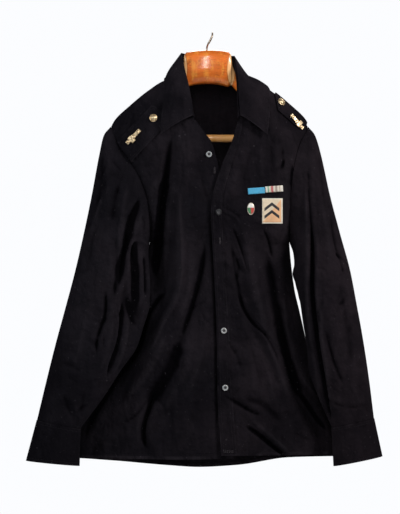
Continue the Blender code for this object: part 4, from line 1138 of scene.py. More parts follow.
def strap_front_grid(strap):
    """The right strap, which lies on the front: pointed at the neck, wide at the armhole."""
    rows, columns = STRAP_STEPS
    tip = np.array([strap["tip"][0], 0.0, strap["tip"][1]])
    end = np.array([strap["end"][0], 0.0, strap["end"][1]])
    along = unit(end - tip)
    across = np.array([-along[2], 0.0, along[0]]) * strap["wide"] / 2
    place = (1 - 2 * even(rows))[:, None, None]
    share = even(columns)[None, :, None]
    points = tip + (end - tip) * share
    points = points + along * strap["wide"] * STRAP_POINT * place ** 2 * (1 - share)
    points = points - across * place
    x, z = points[..., 0], points[..., 2]
    x = np.maximum(x, LEVELS.read("left", z) + STRAP_CLEAR)
    return grid_of(x, body_y(x, z, True, False), z)[:, ::-1]


def normals_of(grid, closed=False):
    """The outward side at each point of a grid."""
    above = np.concatenate([grid[:1], grid[:-1]])
    below = np.concatenate([grid[1:], grid[-1:]])
    if closed:
        before, after = np.roll(grid, 1, 1), np.roll(grid, -1, 1)
    else:
        before = np.concatenate([grid[:, :1], grid[:, :-1]], 1)
        after = np.concatenate([grid[:, 1:], grid[:, -1:]], 1)
    return unit(np.cross(after - before, above - below))


def moved_out(grid, distance, closed=False):
    return grid + normals_of(grid, closed) * distance


def panel_inside(grid):
    """The inner side of a front or the back, square to its seams so that walls meet."""
    normals = normals_of(grid)
    side = np.zeros(grid.shape[:2], bool)
    side[:, 0] = side[:, -1] = True
    z = grid[..., 2]
    normals[..., 0] = np.where(side & (z > ARMHOLE_LOW) & (z < ARMHOLE_TOP), 0, normals[..., 0])
    on_seam = np.abs(grid[..., 1] - LEVELS.read("middle", z)) < SEAM
    normals[..., 1] = np.where(on_seam, 0, normals[..., 1])
    lost = np.linalg.norm(normals, axis=-1) < LOST
    normals[lost] = (0, 0, 1)
    return grid - unit(normals) * WALL


def seam_grid(left_side):
    """The seam allowance that lies inside the body at an armhole."""
    ring = armhole_points(turns(SLEEVE_STEPS[1]), left_side)[0]
    middle = (ring.min(0) + ring.max(0)) / 2
    run = np.roll(ring, -1, 0) - np.roll(ring, 1, 0)
    inward = unit(np.stack([np.zeros(len(ring)), run[:, 2], -run[:, 1]], -1))
    towards = np.sum(inward * (middle - ring), -1, keepdims=True)
    ring = ring + inward * np.where(towards > 0, 1.0, -1.0) * SEAM_DEPTH
    side = -1.0 if left_side else 1.0
    points = np.stack([ring + np.array([side * step, 0.0, 0.0]) for step in SEAM_STEPS])
    return points[:, ::-1] if left_side else points


def sleeve_inside(grid):
    inner = moved_out(grid, -WALL, True)
    normals = normals_of(grid, True)[0]
    normals[:, 0] = 0.0
    inner[0] = grid[0] - unit(normals) * WALL
    return inner


def run_down(grid):
    """How far down the cloth each point lies from the top of its column."""
    steps = np.linalg.norm(np.diff(grid, axis=0), axis=-1)
    return np.concatenate([np.zeros((1, grid.shape[1])), np.cumsum(steps, 0)])


def run_across(grid):
    steps = np.linalg.norm(np.diff(grid, axis=1), axis=-1)
    return np.concatenate([np.zeros((grid.shape[0], 1)), np.cumsum(steps, 1)], 1)


def edge_distance(grid, borders):
    """How far each point lies from the nearest of the named borders."""
    down, across = run_down(grid), run_across(grid)
    found = np.full(grid.shape[:2], EDGE_FAR)
    ways = {"top": down, "low": down[-1:] - down, "first": across, "last": across[:, -1:] - across}
    for border in borders:
        found = np.minimum(found, ways[border])
    return found

def run_along(line):
    """How far along a line each of its points lies."""
    return np.append(0.0, np.cumsum(np.linalg.norm(np.diff(line, axis=0), axis=-1)))


def round_again(grid):
    """A closed grid with its first column again at its end."""
    return np.append(grid, grid[:, :1], 1)


def corners(grid):
    return grid[:-1, :-1], grid[:-1, 1:], grid[1:, 1:], grid[1:, :-1]


def wall_faces(index, inner, closed):
    """The faces of a wall: its outer side, its inner side and its borders."""
    a, b, c, d = corners(index)
    faces = [np.stack([a, d, c, b], -1).reshape(-1, 4), np.stack([a, b, c, d], -1).reshape(-1, 4) + inner]
    top, low, first, last = index[0], index[-1], index[:, 0], index[:, -1]
    borders = [(top[:-1], top[1:]), (low[1:], low[:-1])]
    if not closed:
        borders += [(first[1:], first[:-1]), (last[:-1], last[1:])]
    for one, two in borders:
        faces.append(np.stack([one, two, two + inner, one + inner], -1))
    return np.concatenate(faces)


def shown_object(name, mesh):
    made = bpy.data.objects.new(name, mesh)
    bpy.context.scene.collection.objects.link(made)
    return made


def cloth_object(name, outer, inner, edge, closed=False, shade=None):
    """A wall of cloth: two grids joined round their borders, with a map in metres of cloth."""
    index = np.arange(edge.size).reshape(edge.shape)
    points = np.concatenate([outer.reshape(-1, 3), inner.reshape(-1, 3)]) * MM
    faces = wall_faces(round_again(index) if closed else index, edge.size, closed)
    mesh = bpy.data.meshes.new(name)
    mesh.from_pydata(points.tolist(), [], faces.tolist())
    whole = round_again(outer) if closed else outer
    places = np.stack([run_across(whole), run_down(whole)], -1).reshape(-1, 2) * MM
    spots = np.arange(len(places)).reshape(whole.shape[:2])
    layer = mesh.uv_layers.new(name="cloth")
    layer.data.foreach_set("uv", places[wall_faces(spots, 0, closed).reshape(-1)].reshape(-1))
    shade = np.zeros(edge.shape) if shade is None else shade
    for label, values in (("edge", edge), ("fold", shade)):
        attribute = mesh.attributes.new(label, "FLOAT", "POINT")
        attribute.data.foreach_set("value", (np.tile(values.reshape(-1), 2) * MM).astype(np.float32))
    made = shown_object(name, mesh)
    mesh.shade_smooth()
    mesh.set_sharp_from_angle(angle=SHARP_ANGLE)
    return made


def half_area(grid, closed=False):
    """The area of one side of a piece of cloth, in square metres."""
    a, b, c, d = corners(round_again(grid) if closed else grid)
    sides = ((b - a, c - a), (c - a, d - a))
    total = sum(np.linalg.norm(np.cross(one, two), axis=-1) for one, two in sides)
    return float(total.sum() / 2) * MM * MM


def declared(grid, size, closed=False):
    """Works out the area of one side of a piece, held to its flat size; the result isn't kept."""
    area = min(half_area(grid, closed), size[0] * size[1])


class Wire:
    """A socket of a node tree; arithmetic on it adds Math nodes."""

    def __init__(self, tree, socket):
        self.tree = tree
        self.socket = socket

    def maths(self, operation, *values, clamp=False):
        settings = {"operation": operation, "use_clamp": clamp}
        return self.tree.node("Math", settings, dict(enumerate(values)))

    def __add__(self, other):
        return self.maths("ADD", self, other)

    def __sub__(self, other):
        return self.maths("SUBTRACT", self, other)

    def __rsub__(self, other):
        return self.maths("SUBTRACT", other, self)

    def __mul__(self, other):
        return self.maths("MULTIPLY", self, other)

    def __truediv__(self, other):
        return self.maths("DIVIDE", self, other)

    def __gt__(self, other):
        return self.maths("GREATER_THAN", self, other)

    def __lt__(self, other):
        return self.maths("LESS_THAN", self, other)

    def __neg__(self):
        return self.maths("MULTIPLY", self, -1.0)

    __radd__ = __add__
    __rmul__ = __mul__

    def ripple(self):
        """A sine wave of the value, from 0 to 1."""
        return self.maths("SINE", self) * 0.5 + 0.5

    def size(self):
        return self.maths("ABSOLUTE", self)

    def most(self, other):
        return self.maths("MAXIMUM", self, other)

    def held(self):
        """The value, held between 0 and 1."""
        return self.maths("ADD", self, 0.0, clamp=True)

    def between(self, low, high):
        """0 at low, 1 at high and smooth between them, whichever of them is larger."""
        values = {"Value": self, "From Min": low, "From Max": high}
        return self.tree.node("MapRange", {"interpolation_type": "SMOOTHSTEP"}, values, "Result")


class NodeTree:
    """The nodes of a material or of the world."""

    def __init__(self, tree):
        self.tree = tree

    def give(self, slot, value):
        if isinstance(value, Wire):
            self.tree.links.new(value.socket, slot)
        else:
            slot.default_value = value

    def node(self, kind, settings=None, values=None, output=0):
        """One node: its settings are set first, then the values or links of its sockets."""
        made = self.tree.nodes.new("ShaderNode" + kind)
        for name, value in (settings or {}).items():
            setattr(made, name, value)
        for name, value in (values or {}).items():
            self.give(made.inputs[name], value)
        return Wire(self, made.outputs[output])


class Finish(NodeTree):
    """A material in the making."""

    def __init__(self, name, constants=None):
        self.made = bpy.data.materials.new(name)
        self.made.use_nodes = True
        super().__init__(self.made.node_tree)
        self.shader = self.tree.nodes["Principled BSDF"]
        for slot, value in (constants or {}).items():
            self.shader.inputs[slot].default_value = value

    def place(self):
        return self.node("TexCoord", output="Object")

    def axes(self, vector):
        """The separate numbers of a vector."""
        first = self.node("SeparateXYZ", values={"Vector": vector})
        return [Wire(self, socket) for socket in first.socket.node.outputs]

    def cloth_map(self):
        """Across and down the cloth, in metres."""
        return self.axes(self.node("UVMap", {"uv_map": "cloth"}))[:2]

    def attribute(self, name):
        return self.node("Attribute", {"attribute_name": name}, output="Fac")

    def noise(self, vector, scale, detail, roughness):
        values = {"Vector": vector, "Scale": scale, "Detail": detail, "Roughness": roughness}
        return self.node("TexNoise", values=values, output="Fac")

    def grain(self, vector, stretch, detail, roughness):
        """Noise with a scale of its own for each axis."""
        stretched = self.node("Mapping", values={"Vector": vector, "Scale": stretch})
        return self.noise(stretched, 1.0, detail, roughness)

    def blend(self, share, one, two):
        """A colour between two others."""
        colours = [value if isinstance(value, Wire) else (*value, 1.0) for value in (one, two)]
        values = dict(zip(MIX_SLOTS, (share, *colours)))
        return self.node("Mix", {"data_type": "RGBA"}, values, MIX_COLOUR)

    def bump(self, height, distance, strength, after=None):
        values = {"Height": height, "Distance": distance, "Strength": strength}
        if after:
            values["Normal"] = after
        return self.node("Bump", values=values)

    def finish(self, colour, roughness=None, normal=None, metallic=None):
        for slot, wire in (("Base Color", colour), ("Roughness", roughness), ("Normal", normal),
                           ("Metallic", metallic)):
            if wire:
                self.give(self.shader.inputs[slot], wire)
        return self.made


def twill_finish():
    """Black cotton twill: slanting ribs, nap, painted shade in creases, lower down and on the wearer's
    right, dull ridges with a painted highlight and some wear, painted warmer light on the wearer's left,
    worn edges, lint, a grooved edge.
    """
    colours = bpy.context.scene.shirt_colours
    look = Finish("twill", TWILL.shader)
    across, down = look.cloth_map()
    place = look.place()
    x, _, z = look.axes(place)
    edge = look.attribute("edge")
    fold = look.attribute("fold")
    rib = ((across + down * TWILL.rib_slant) * TWILL.rib_rate).ripple()
    yarn = ((across * TWILL.yarn_across - down * TWILL.yarn_down) * TWILL.yarn_rate).ripple()
    cloud = look.noise(place, *TWILL.cloud)
    patch = look.noise(place, *TWILL.patch)
    nap = look.noise(place, *TWILL.nap)
    streak = look.grain(place, *TWILL.streak)
    # Painted light by side, warmer towards the wearer's left, mixed with random clouding
    warm = x * TWILL.warm_across + (cloud - TWILL.cloud_middle) * TWILL.warm_cloud
    base = look.blend((warm + TWILL.warm_start).held(), colours.twill_cool_shaded, colours.twill_warm_lit)
    tone = (patch * TWILL.tone_patch + streak * TWILL.tone_streak + nap * TWILL.tone_nap
            + rib * TWILL.tone_rib)
    pale = ((tone - TWILL.tone_start) * TWILL.tone_spread).held()
    base = look.blend((1.0 - pale) * TWILL.tone_share, base, TWILL_DEEP)
    base = look.blend(cloud.between(*TWILL.cloud_dark) * TWILL.cloud_share, base, TWILL_DEEP)
    # Painted shade: darker lower down and towards the wearer's right
    painted_shade_low = (-z).between(*TWILL.painted_shade_low) * TWILL.painted_shade_low_share
    painted_shade_right = (-x).between(*TWILL.painted_shade_right) * TWILL.painted_shade_right_share
    base = look.blend(painted_shade_low + painted_shade_right, base, TWILL_DEEP)
    # Painted shade in crease troughs, and a painted highlight with some rubbed wear on crease ridges
    base = look.blend((-fold).between(*TWILL.trough) * TWILL.trough_shade_share, base, TWILL_DEEP)
    base = look.blend(fold.between(*TWILL.ridge) * TWILL.ridge_highlight_share, base, TWILL_WORN_AND_HIGHLIT)
    worn = (1.0 - edge.between(*TWILL.worn_edge)) * patch.between(*TWILL.worn_patch)
    base = look.blend(worn * TWILL.worn_share, base, TWILL_WORN_AND_HIGHLIT)
    lint = (look.noise(place, *TWILL.lint) - TWILL.lint_start).between(*TWILL.lint_edge)
    base = look.blend(lint * TWILL.lint_share, base, LINT_COLOUR)
    groove = 1.0 - (edge - EDGE_LINE * MM).size().between(*TWILL.groove)
    pucker = look.noise(place, *TWILL.pucker) * (1.0 - edge.between(*TWILL.pucker_edge))
    wave = look.grain(place, *TWILL.wave)
    crumple = look.noise(place, *TWILL.crumple)
    soft = look.bump(wave + crumple * TWILL.crumple_height + pucker * TWILL.pucker_height, *TWILL.soft_bump)
    seam = look.bump(-groove, *TWILL.groove_bump, soft)
    weave = rib * TWILL.rib_height + yarn * TWILL.yarn_height + nap * TWILL.nap_height
    rough = (TWILL.rough + patch * TWILL.rough_patch - worn * TWILL.rough_worn).held()
    return look.finish(base, rough, look.bump(weave, *TWILL.weave_bump, seam))


def speckled_finish(name, colour, recipe, roughness=None):
    """One colour with fine darker and paler specks, as on thread and plastic."""
    look = Finish(name, recipe.shader)
    speck = look.noise(look.place(), *recipe.speck)
    base = look.blend(speck, [channel * SPECK_DARK for channel in colour],
                      [channel * SPECK_PALE for channel in colour])
    rough = roughness + speck * recipe.rough_speck if roughness else None
    return look.finish(base, rough, look.bump(speck, *recipe.bump))


def ribbon_finish(name, bands):
    """Ribbed ribbon: bands are (start, colour) along its width, in shares."""
    look = Finish(name, RIBBON.shader)
    across, down = look.cloth_map()
    span = across / RIBBON.span
    base = bands[0][1]
    for start, colour in bands[1:]:
        base = look.blend(span.between(start - RIBBON.blur, start + RIBBON.blur), base, colour)
    grime = look.noise(look.place(), *RIBBON.grime)
    dull = look.blend((grime - RIBBON.grime_start).held() * RIBBON.grime_share, base, RIBBON.grime_colour)
    rib = (down * RIBBON.rib_rate).ripple() * RIBBON.rib_height
    warp = (across * RIBBON.warp_rate).ripple() * RIBBON.warp_height
    return look.finish(dull, RIBBON.rough + grime * RIBBON.rough_grime, look.bump(rib + warp, *RIBBON.bump))


def patch_finish():
    """The chest patch: cream and peach halves, with two dark chevrons and a border."""
    look = Finish("patch_cloth", EMBLEM.shader)
    across, down = look.cloth_map()
    x = across / (PATCH["wide"] * MM) - 0.5
    y = 0.5 - down / (PATCH["high"] * MM)
    grime = look.noise(look.place(), *EMBLEM.grime)
    base = look.blend((x - y).between(-EMBLEM.blur, EMBLEM.blur), EMBLEM.cream, EMBLEM.peach)
    slope = y + x.size() * EMBLEM.slope
    inside = 1.0 - x.size().between(*EMBLEM.reach)
    upper, lower = [1.0 - (slope - height).size().between(*EMBLEM.half) for height in EMBLEM.heights]
    mark = upper.most(lower) * inside
    base = look.blend(mark, base, EMBLEM.dark)
    rim = x.size().most(y.size()).between(*EMBLEM.rim)
    base = look.blend(rim, base, EMBLEM.rim_colour)
    base = look.blend((grime - EMBLEM.grime_start).held() * EMBLEM.grime_share, base, EMBLEM.grime_colour)
    rib = ((across + down) * EMBLEM.rib_rate).ripple()
    height = rib + mark * EMBLEM.mark_height + rim * EMBLEM.rim_height
    return look.finish(base, None, look.bump(height, *EMBLEM.bump))


def enamel_finish():
    """The oval badge: a brass rim round three enamel fields."""
    look = Finish("badge_enamel", ENAMEL.shader)
    x, _, z = look.axes(look.place())
    across = (x - OVAL["x"] * MM) / (OVAL["wide"] / 2 * MM)
    up = (z - OVAL["z"] * MM) / (OVAL["high"] / 2 * MM)
    blur = (-ENAMEL.blur, ENAMEL.blur)
    base = look.blend((across + up * ENAMEL.lean).between(*blur), ENAMEL.green, ENAMEL.red)
    base = look.blend((up - ENAMEL.split).between(*blur), base, ENAMEL.white)
    ring = (across * across + up * up).between(*ENAMEL.ring)
    base = look.blend(ring, base, ENAMEL.brass)
    dirt = look.noise(look.place(), *ENAMEL.dirt)
    base = look.blend((dirt - ENAMEL.dirt_start).held(), base, ENAMEL.dirt_colour)
    return look.finish(base, ENAMEL.rough + dirt * ENAMEL.rough_dirt, look.bump(ring, *ENAMEL.bump),
                       ring * ENAMEL.metallic)


def brass_finish():
    look = Finish("brass", {"Metallic": 1.0})
    place = look.place()
    grime = look.noise(place, *BRASS.grime)
    fine = look.noise(place, *BRASS.fine)
    base = look.blend(((grime - BRASS.grime_start) * BRASS.grime_spread).held(), BRASS.bright, BRASS.dull)
    height = look.bump(grime + fine * BRASS.fine_height, *BRASS.bump)
    return look.finish(base, BRASS.rough + grime * BRASS.rough_grime, height)


def pearl_finish():
    look = Finish("pearly_plastic", PEARL.shader)
    swirl = look.grain(look.place(), *PEARL.swirl)
    base = look.blend(swirl, PEARL.dark, PEARL.pale)
    return look.finish(base, PEARL.rough + swirl * PEARL.rough_swirl, look.bump(swirl, *PEARL.bump))


def wood_finish(name, colour, stained):
    """Varnished wood: long grain, darker pores, a mottled stain, paler lens patches with darker rims on the
    block's front, and a clear gloss.
    """
    look = Finish(name, WOOD.shader)
    place = look.place()
    x, y, z = look.axes(place)
    warp = look.noise(place, *WOOD.warp)
    grain = look.grain(place, *WOOD.grain)
    rings = look.grain(place, *WOOD.rings)
    bands = (rings * WOOD.band_rate + warp * WOOD.band_warp).ripple()
    pores = look.grain(place, *WOOD.pores)
    mottle = look.noise(place, *WOOD.mottle)
    stain = look.grain(place, *WOOD.stain)
    light = [min(channel * WOOD.light + WOOD.light_start, 1.0) for channel in colour]
    deep = [channel * (1.0 - WOOD.deep * stained) for channel in colour]
    shade = grain * WOOD.shade_grain + bands * WOOD.shade_bands + mottle * WOOD.shade_mottle
    base = look.blend((shade - WOOD.shade_start).held(), light, deep)
    base = look.blend(stain.between(*WOOD.stain_edge) * WOOD.stain_share, base, WOOD.stain_colour)
    for mark, edge, tint in ((mottle, WOOD.mottle_edge, WOOD.mottle_colour),
                             (pores, WOOD.pores_edge, WOOD.pores_colour)):
        base = look.blend(mark.between(*edge) * (WOOD.mark_share * stained), base, tint)
    # Paler lens patches with darker rims, drawn on the block's front only
    seen = (y < FACET_DEEP) * (z > FACET_LOW)
    up = (z - FACET_Z) / FACET_HIGH
    for middle, wide in FACETS:
        lens = ((x - middle) / wide).size() + up * up
        facet = (1.0 - lens.between(*WOOD.facet)) * seen
        rim = lens.between(*WOOD.rim_in) * (1.0 - lens.between(*WOOD.rim_out)) * seen
        base = look.blend(facet * WOOD.facet_share, base, WOOD.facet_colour)
        base = look.blend(rim * WOOD.rim_share, base, WOOD.rim_colour)
    height = grain * WOOD.grain_height + pores * WOOD.pores_height + mottle * WOOD.mottle_height
    return look.finish(base, WOOD.rough + mottle * WOOD.rough_mottle, look.bump(height, *WOOD.bump))


def wire_finish():
    look = Finish("hook_wire", {"Metallic": 1.0})
    place = look.place()
    rust = look.noise(place, *HOOK.rust)
    scratch = look.grain(place, *HOOK.scratch)
    base = look.blend(rust.between(*HOOK.rust_edge), HOOK.bright, HOOK.brown)
    height = look.bump(rust + scratch * HOOK.scratch_height, *HOOK.bump)
    return look.finish(base, HOOK.rough + rust * HOOK.rough_rust, height)


def floor_finish():
    look = Finish("pale_floor", {"Roughness": FLOOR.rough})
    cloud = look.noise(look.place(), *FLOOR.cloud)
    return look.finish(look.blend(cloud, *FLOOR.colours))


LOOKS = {}


def look_named(name):
    """A material by name, made the first time that it is asked for."""
    colours = bpy.context.scene.shirt_colours
    makers = {
        "twill": twill_finish,
        "thread": lambda: speckled_finish("black_thread", THREAD_DARK, THREAD),
        "pale_thread": lambda: speckled_finish("pale_thread", THREAD_PALE, THREAD),
        "pearl": pearl_finish,
        "socket": lambda: speckled_finish("button_middle", SOCKET_COLOUR, PLASTIC, SOCKET_ROUGH),
        "darker_button": lambda: speckled_finish("darker_button_plastic", DARKER_BUTTON_COLOUR, PLASTIC, DARKER_BUTTON_ROUGH),
        "brass": brass_finish,
        "wood": lambda: wood_finish("varnished_wood", colours.wood, 1.0),
        "bar": lambda: wood_finish("bar_wood", BAR_LIT_COLOUR, BAR_STAINED),
        "wire": wire_finish,
        "blue": lambda: ribbon_finish("ribbon_blue_cloth", BLUE_BANDS),
        "striped": lambda: ribbon_finish("ribbon_cream_cloth", STRIPED_BANDS),
        "patch": patch_finish,
        "enamel": enamel_finish,
    }
    if name not in LOOKS:
        LOOKS[name] = makers[name]()
    return LOOKS[name]


def settled(made, node):
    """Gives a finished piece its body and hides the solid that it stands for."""
    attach(made, "root")
    if node:
        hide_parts(node)
    return made


def dressed(made, look, node):
    """Gives a finished piece its material and its place in the frame."""
    made.data.materials.clear()
    made.data.materials.append(look_named(look))
    return settled(made, node)


def sheet_of_twill(made, node, grid, size, closed=False):
    """Dresses a piece of cloth in twill and works out its area."""
    dressed(made, "twill", node)
    declared(grid, size, closed)


def facing(x, z, lift):
    """Where a small piece sits on a front, and the turn that faces it out."""
    here, right, up = [Vector((x + across, float(body_y(x + across, z + rise, True, False)), z + rise))
                       for across, rise in ((0.0, 0.0), (FACING_STEP, 0.0), (0.0, FACING_STEP))]
    right, up = right - here, up - here
    out = right.cross(up).normalized()
    upright = Matrix((up.cross(out).normalized(), up.normalized(), out)).transposed()
    return here + out * lift, upright.to_4x4()


def badge_grid(badge):
    rows, columns = BADGE_STEPS
    turn = math.radians(badge["turn"])
    right = (even(columns)[None, :] - 0.5) * badge["wide"]
    up = (0.5 - even(rows)[:, None]) * badge["high"]
    x = badge["x"] + right * math.cos(turn) - up * math.sin(turn)
    z = badge["z"] + right * math.sin(turn) + up * math.cos(turn)
    return grid_of(x, body_y(x, z, True, False), z)


def crowned(grid, lift, wall, rim):
    """A badge's outer side: its middle stands out, its border rolls back over the rim."""
    away = edge_distance(grid, BORDERS)
    height = np.sqrt(1 - (1 - np.clip(away / rim, 0.0, 1.0)) ** 2)
    rise = lift + wall * (CROWN_RIM + (1 - CROWN_RIM) * height)
    return grid + normals_of(grid) * rise[..., None]


def stitches(name, lines, thread, thick=STITCH_THICK, pitch=STITCH_PITCH, long=STITCH_LONG):
    """Short lengths of thread along lines of points, each half sunk in the cloth."""
    points, faces = [], []
    for line, normals in lines:
        run = run_along(line)
        for i in range(int(run[-1] // pitch)):
            places = (i + 0.5) * pitch + np.array([-long / 2, 0.0, long / 2])
            spots = np.stack([np.interp(places, run, line[:, k]) for k in range(3)], -1)
            out = unit(np.array([np.interp(places[1], run, normals[:, k]) for k in range(3)]))
            side = np.cross(unit(spots[2] - spots[0]), out)
            base = spots[1] + out * (thick / 2 - STITCH_SINK)
            first = len(points)
            points += [spots[0] - out * STITCH_SINK, base + side * thick, base + out * thick,
                       base - side * thick, base - out * thick, spots[2] - out * STITCH_SINK]
            for a, b in STITCH_SIDES:
                faces.append((first, first + b, first + a))
                faces.append((first + STITCH_END, first + a, first + b))
    mesh = bpy.data.meshes.new(name)
    mesh.from_pydata((np.array(points) * MM).tolist(), [], faces)
    made = shown_object(name, mesh)
    tidy = bmesh.new()
    tidy.from_mesh(mesh)
    bmesh.ops.recalc_face_normals(tidy, faces=tidy.faces)
    tidy.to_mesh(mesh)
    tidy.free()
    mesh.shade_smooth()
    dressed(made, thread, None)


def border_line(grid, border, inset, trim=0.0):
    """The line that runs an inset away from one border of a grid, with its normals."""
    turned, sides = grid, normals_of(grid)
    if border in ("first", "last"):
        turned, sides = turned.transpose(1, 0, 2), sides.transpose(1, 0, 2)
    if border in ("low", "last"):
        turned, sides = turned[::-1], sides[::-1]
    down = run_down(turned)
    line, out = [np.array([[np.interp(inset, down[:, j], values[:, j, k]) for k in range(3)]
                           for j in range(turned.shape[1])]) for values in (turned, sides)]
    run = run_along(line)
    kept = (run >= trim) & (run <= run[-1] - trim)
    return line[kept], out[kept]


GRIDS = {}
SHADES = {}


def grids():
    """Every piece of cloth as its outer grid, worked out once."""
    if not GRIDS:
        rows, columns = FRONT_STEPS
        shares = even(columns)[None, :]
        down = row_shares(rows)
        GRIDS["front_left"] = front_grid(True, shares, down)
        GRIDS["front_right"] = front_grid(False, shares, down)
        GRIDS["back"] = back_grid()
        band = PLACKET_WIDTH / abs(EDGE_LEFT.rows[0][1] - LEVELS.rows[0][2])
        band_shares = np.linspace(0, band, BAND_STEPS + 1)[None, :]
        band_start = BAND_TOP / BAND_HIGH
        GRIDS["placket"] = front_grid(True, band_shares, band_start + (1 - band_start) * down)
        GRIDS["leaf"] = leaf_grid()
        GRIDS["stand"] = stand_grid()
        GRIDS["strap_left"] = strap_over_grid(STRAP_LEFT)
        GRIDS["strap_right"] = strap_front_grid(STRAP_RIGHT)
        for side, rings, creases, seen, end in (
                ("right", SLEEVE_RIGHT, SLEEVE_RIGHT_CREASES, SLEEVE_RIGHT_FRONT, CUFF_RIGHT_END),
                ("left", SLEEVE_LEFT, SLEEVE_LEFT_CREASES, SLEEVE_LEFT_FRONT, CUFF_LEFT_END)):
            name = f"sleeve_{side}"
            GRIDS[name], SHADES[name] = sleeve_grid(rings, creases, seen, side == "left")
            GRIDS[f"cuff_{side}"] = cuff_grid(rings, end, side == "left")
    return GRIDS


def body_shade(grid, front):
    """How far creases and folds lift or sink each point of the body's cloth, which steers the twill's
    painted shade and highlight.
    """
    x, z = grid[..., 0], grid[..., 2]
    creases = FRONT_CREASES + SMALL_FRONT if front else BACK_CREASES + SMALL_BACK
    folds = FRONT_FOLDS if front else BACK_FOLDS
    return crease_field(creases, x, z) + FOLD_SHARE * fold_height(folds, x, z)


class ShirtSizes(bpy.types.PropertyGroup):
    """What a user would change on the shirt."""

    button_radius: bpy.props.FloatProperty(
        name="Button radius", description="Radius of the shirt's own buttons", default=0.0058,
        unit="LENGTH")


class ShirtColours(bpy.types.PropertyGroup):
    """The colours that a user would change."""

    # The two twill colours carry painted light: the warm one is the lit side, the cool one the shaded side
    twill_cool_shaded: bpy.props.FloatVectorProperty(
        name="Twill, cool", description="The cloth's colour towards the wearer's right",
        default=(0.0132, 0.0120, 0.0154), subtype="COLOR")
    twill_warm_lit: bpy.props.FloatVectorProperty(
        name="Twill, warm", description="The cloth's colour towards the wearer's left",
        default=(0.0178, 0.0136, 0.0166), subtype="COLOR")
    wood: bpy.props.FloatVectorProperty(
        name="Wood", description="The varnished wood's colour", default=(0.56, 0.118, 0.006),
        subtype="COLOR")


class StageSizes(bpy.types.PropertyGroup):
    """Camera and light of the stage."""

    distance: bpy.props.FloatProperty(
        name="Camera distance", description="From the camera to the shirt's front", default=7.0,
        unit="LENGTH")
    key_power: bpy.props.FloatProperty(
        name="Key light", description="Power of the large soft light", default=86.0, unit="POWER")
    fill_power: bpy.props.FloatProperty(
        name="Fill light", description="Power of the weaker light", default=30.0, unit="POWER")


def alone():
    """Nothing stays selected, so that an operator acts on the new piece only."""
    if bpy.context.object and bpy.context.object.mode != "OBJECT":
        bpy.ops.object.mode_set(mode="OBJECT")
    bpy.ops.object.select_all(action="DESELECT")


def chosen(made):
    """Selects one piece and no other."""
    alone()
    made.select_set(True)
    bpy.context.view_layer.objects.active = made


def added(name):
    """The piece that was just added, named and with its place and size in its mesh."""
    made = bpy.context.object
    made.name = name
    bpy.ops.object.transform_apply(location=True, rotation=True, scale=True)
    return made


def faces_front(side):
    return side.z > FACING_OUT


def faces_end(side):
    return abs(side.x) > FACING_OUT


def inset_faces(made, test, steps, individual=False):
    """Insets the faces whose side passes the test: steps are (how far in, how far up)."""
    bpy.ops.object.mode_set(mode="EDIT")
    bpy.ops.mesh.select_mode(type="FACE")
    bpy.ops.mesh.select_all(action="DESELECT")
    edited = bmesh.from_edit_mesh(made.data)
    for face in edited.faces:
        face.select_set(test(face.normal))
    bmesh.update_edit_mesh(made.data)
    for thickness, rise in steps:
        bpy.ops.mesh.inset(thickness=thickness, depth=rise, use_individual=individual)
    bpy.ops.object.mode_set(mode="OBJECT")


def bevelled(made, width):
    """Rounds the sharp edges a little and smooths the rest."""
    chosen(made)
    bevel = made.modifiers.new("bevel", "BEVEL")
    bevel.width = width
    bevel.segments = 2
    bevel.limit_method = "ANGLE"
    bevel.angle_limit = BEVEL_ANGLE
    bpy.ops.object.modifier_apply(modifier="bevel")
    bpy.ops.object.shade_smooth_by_angle(angle=SMOOTH_ANGLE)


def turned_piece(name, radius, depth, steps, sides=TURNED_SIDES):
    """A round piece: a cylinder whose front is inset, in shares of its radius, and raised."""
    alone()
    bpy.ops.mesh.primitive_cylinder_add(vertices=sides, radius=radius, depth=depth,
                                        location=(0.0, 0.0, depth / 2))
    made = added(name)
    inset_faces(made, faces_front, [(share * radius, rise) for share, rise in steps])
    return made


def plate(name, shape, steps):
    """A flat block whose front is inset and raised."""
    alone()
    bpy.ops.mesh.primitive_cube_add(size=BLOCK_SIZE, location=shape["place"])
    bpy.ops.transform.resize(value=shape["size"])
    made = added(name)
    inset_faces(made, faces_front, steps)
    return made


def bored(made, place, radius):
    """Cuts a small round hole through a piece."""
    alone()
    bpy.ops.mesh.primitive_cylinder_add(vertices=CUTTER_SIDES, radius=radius, depth=CUTTER_LONG,
                                        location=(place[0], place[1], 0.0))
    cutter = bpy.context.object
    hole = made.modifiers.new("hole", "BOOLEAN")
    hole.operation = "DIFFERENCE"
    hole.solver = "EXACT"
    hole.object = cutter
    chosen(made)
    bpy.ops.object.modifier_apply(modifier="hole")
    bpy.data.objects.remove(cutter)


def placed(made, name, slot, here, turn):
    """A copy of a piece for the solid of that name, its mesh moved to a place in millimetres."""
    other = made.copy()
    other.data = made.data.copy()
    other.name = f"{name}_shown"
    bpy.context.scene.collection.objects.link(other)
    other.data.transform(Matrix.Translation(here * MM) @ turn)
    return settled(other, name)


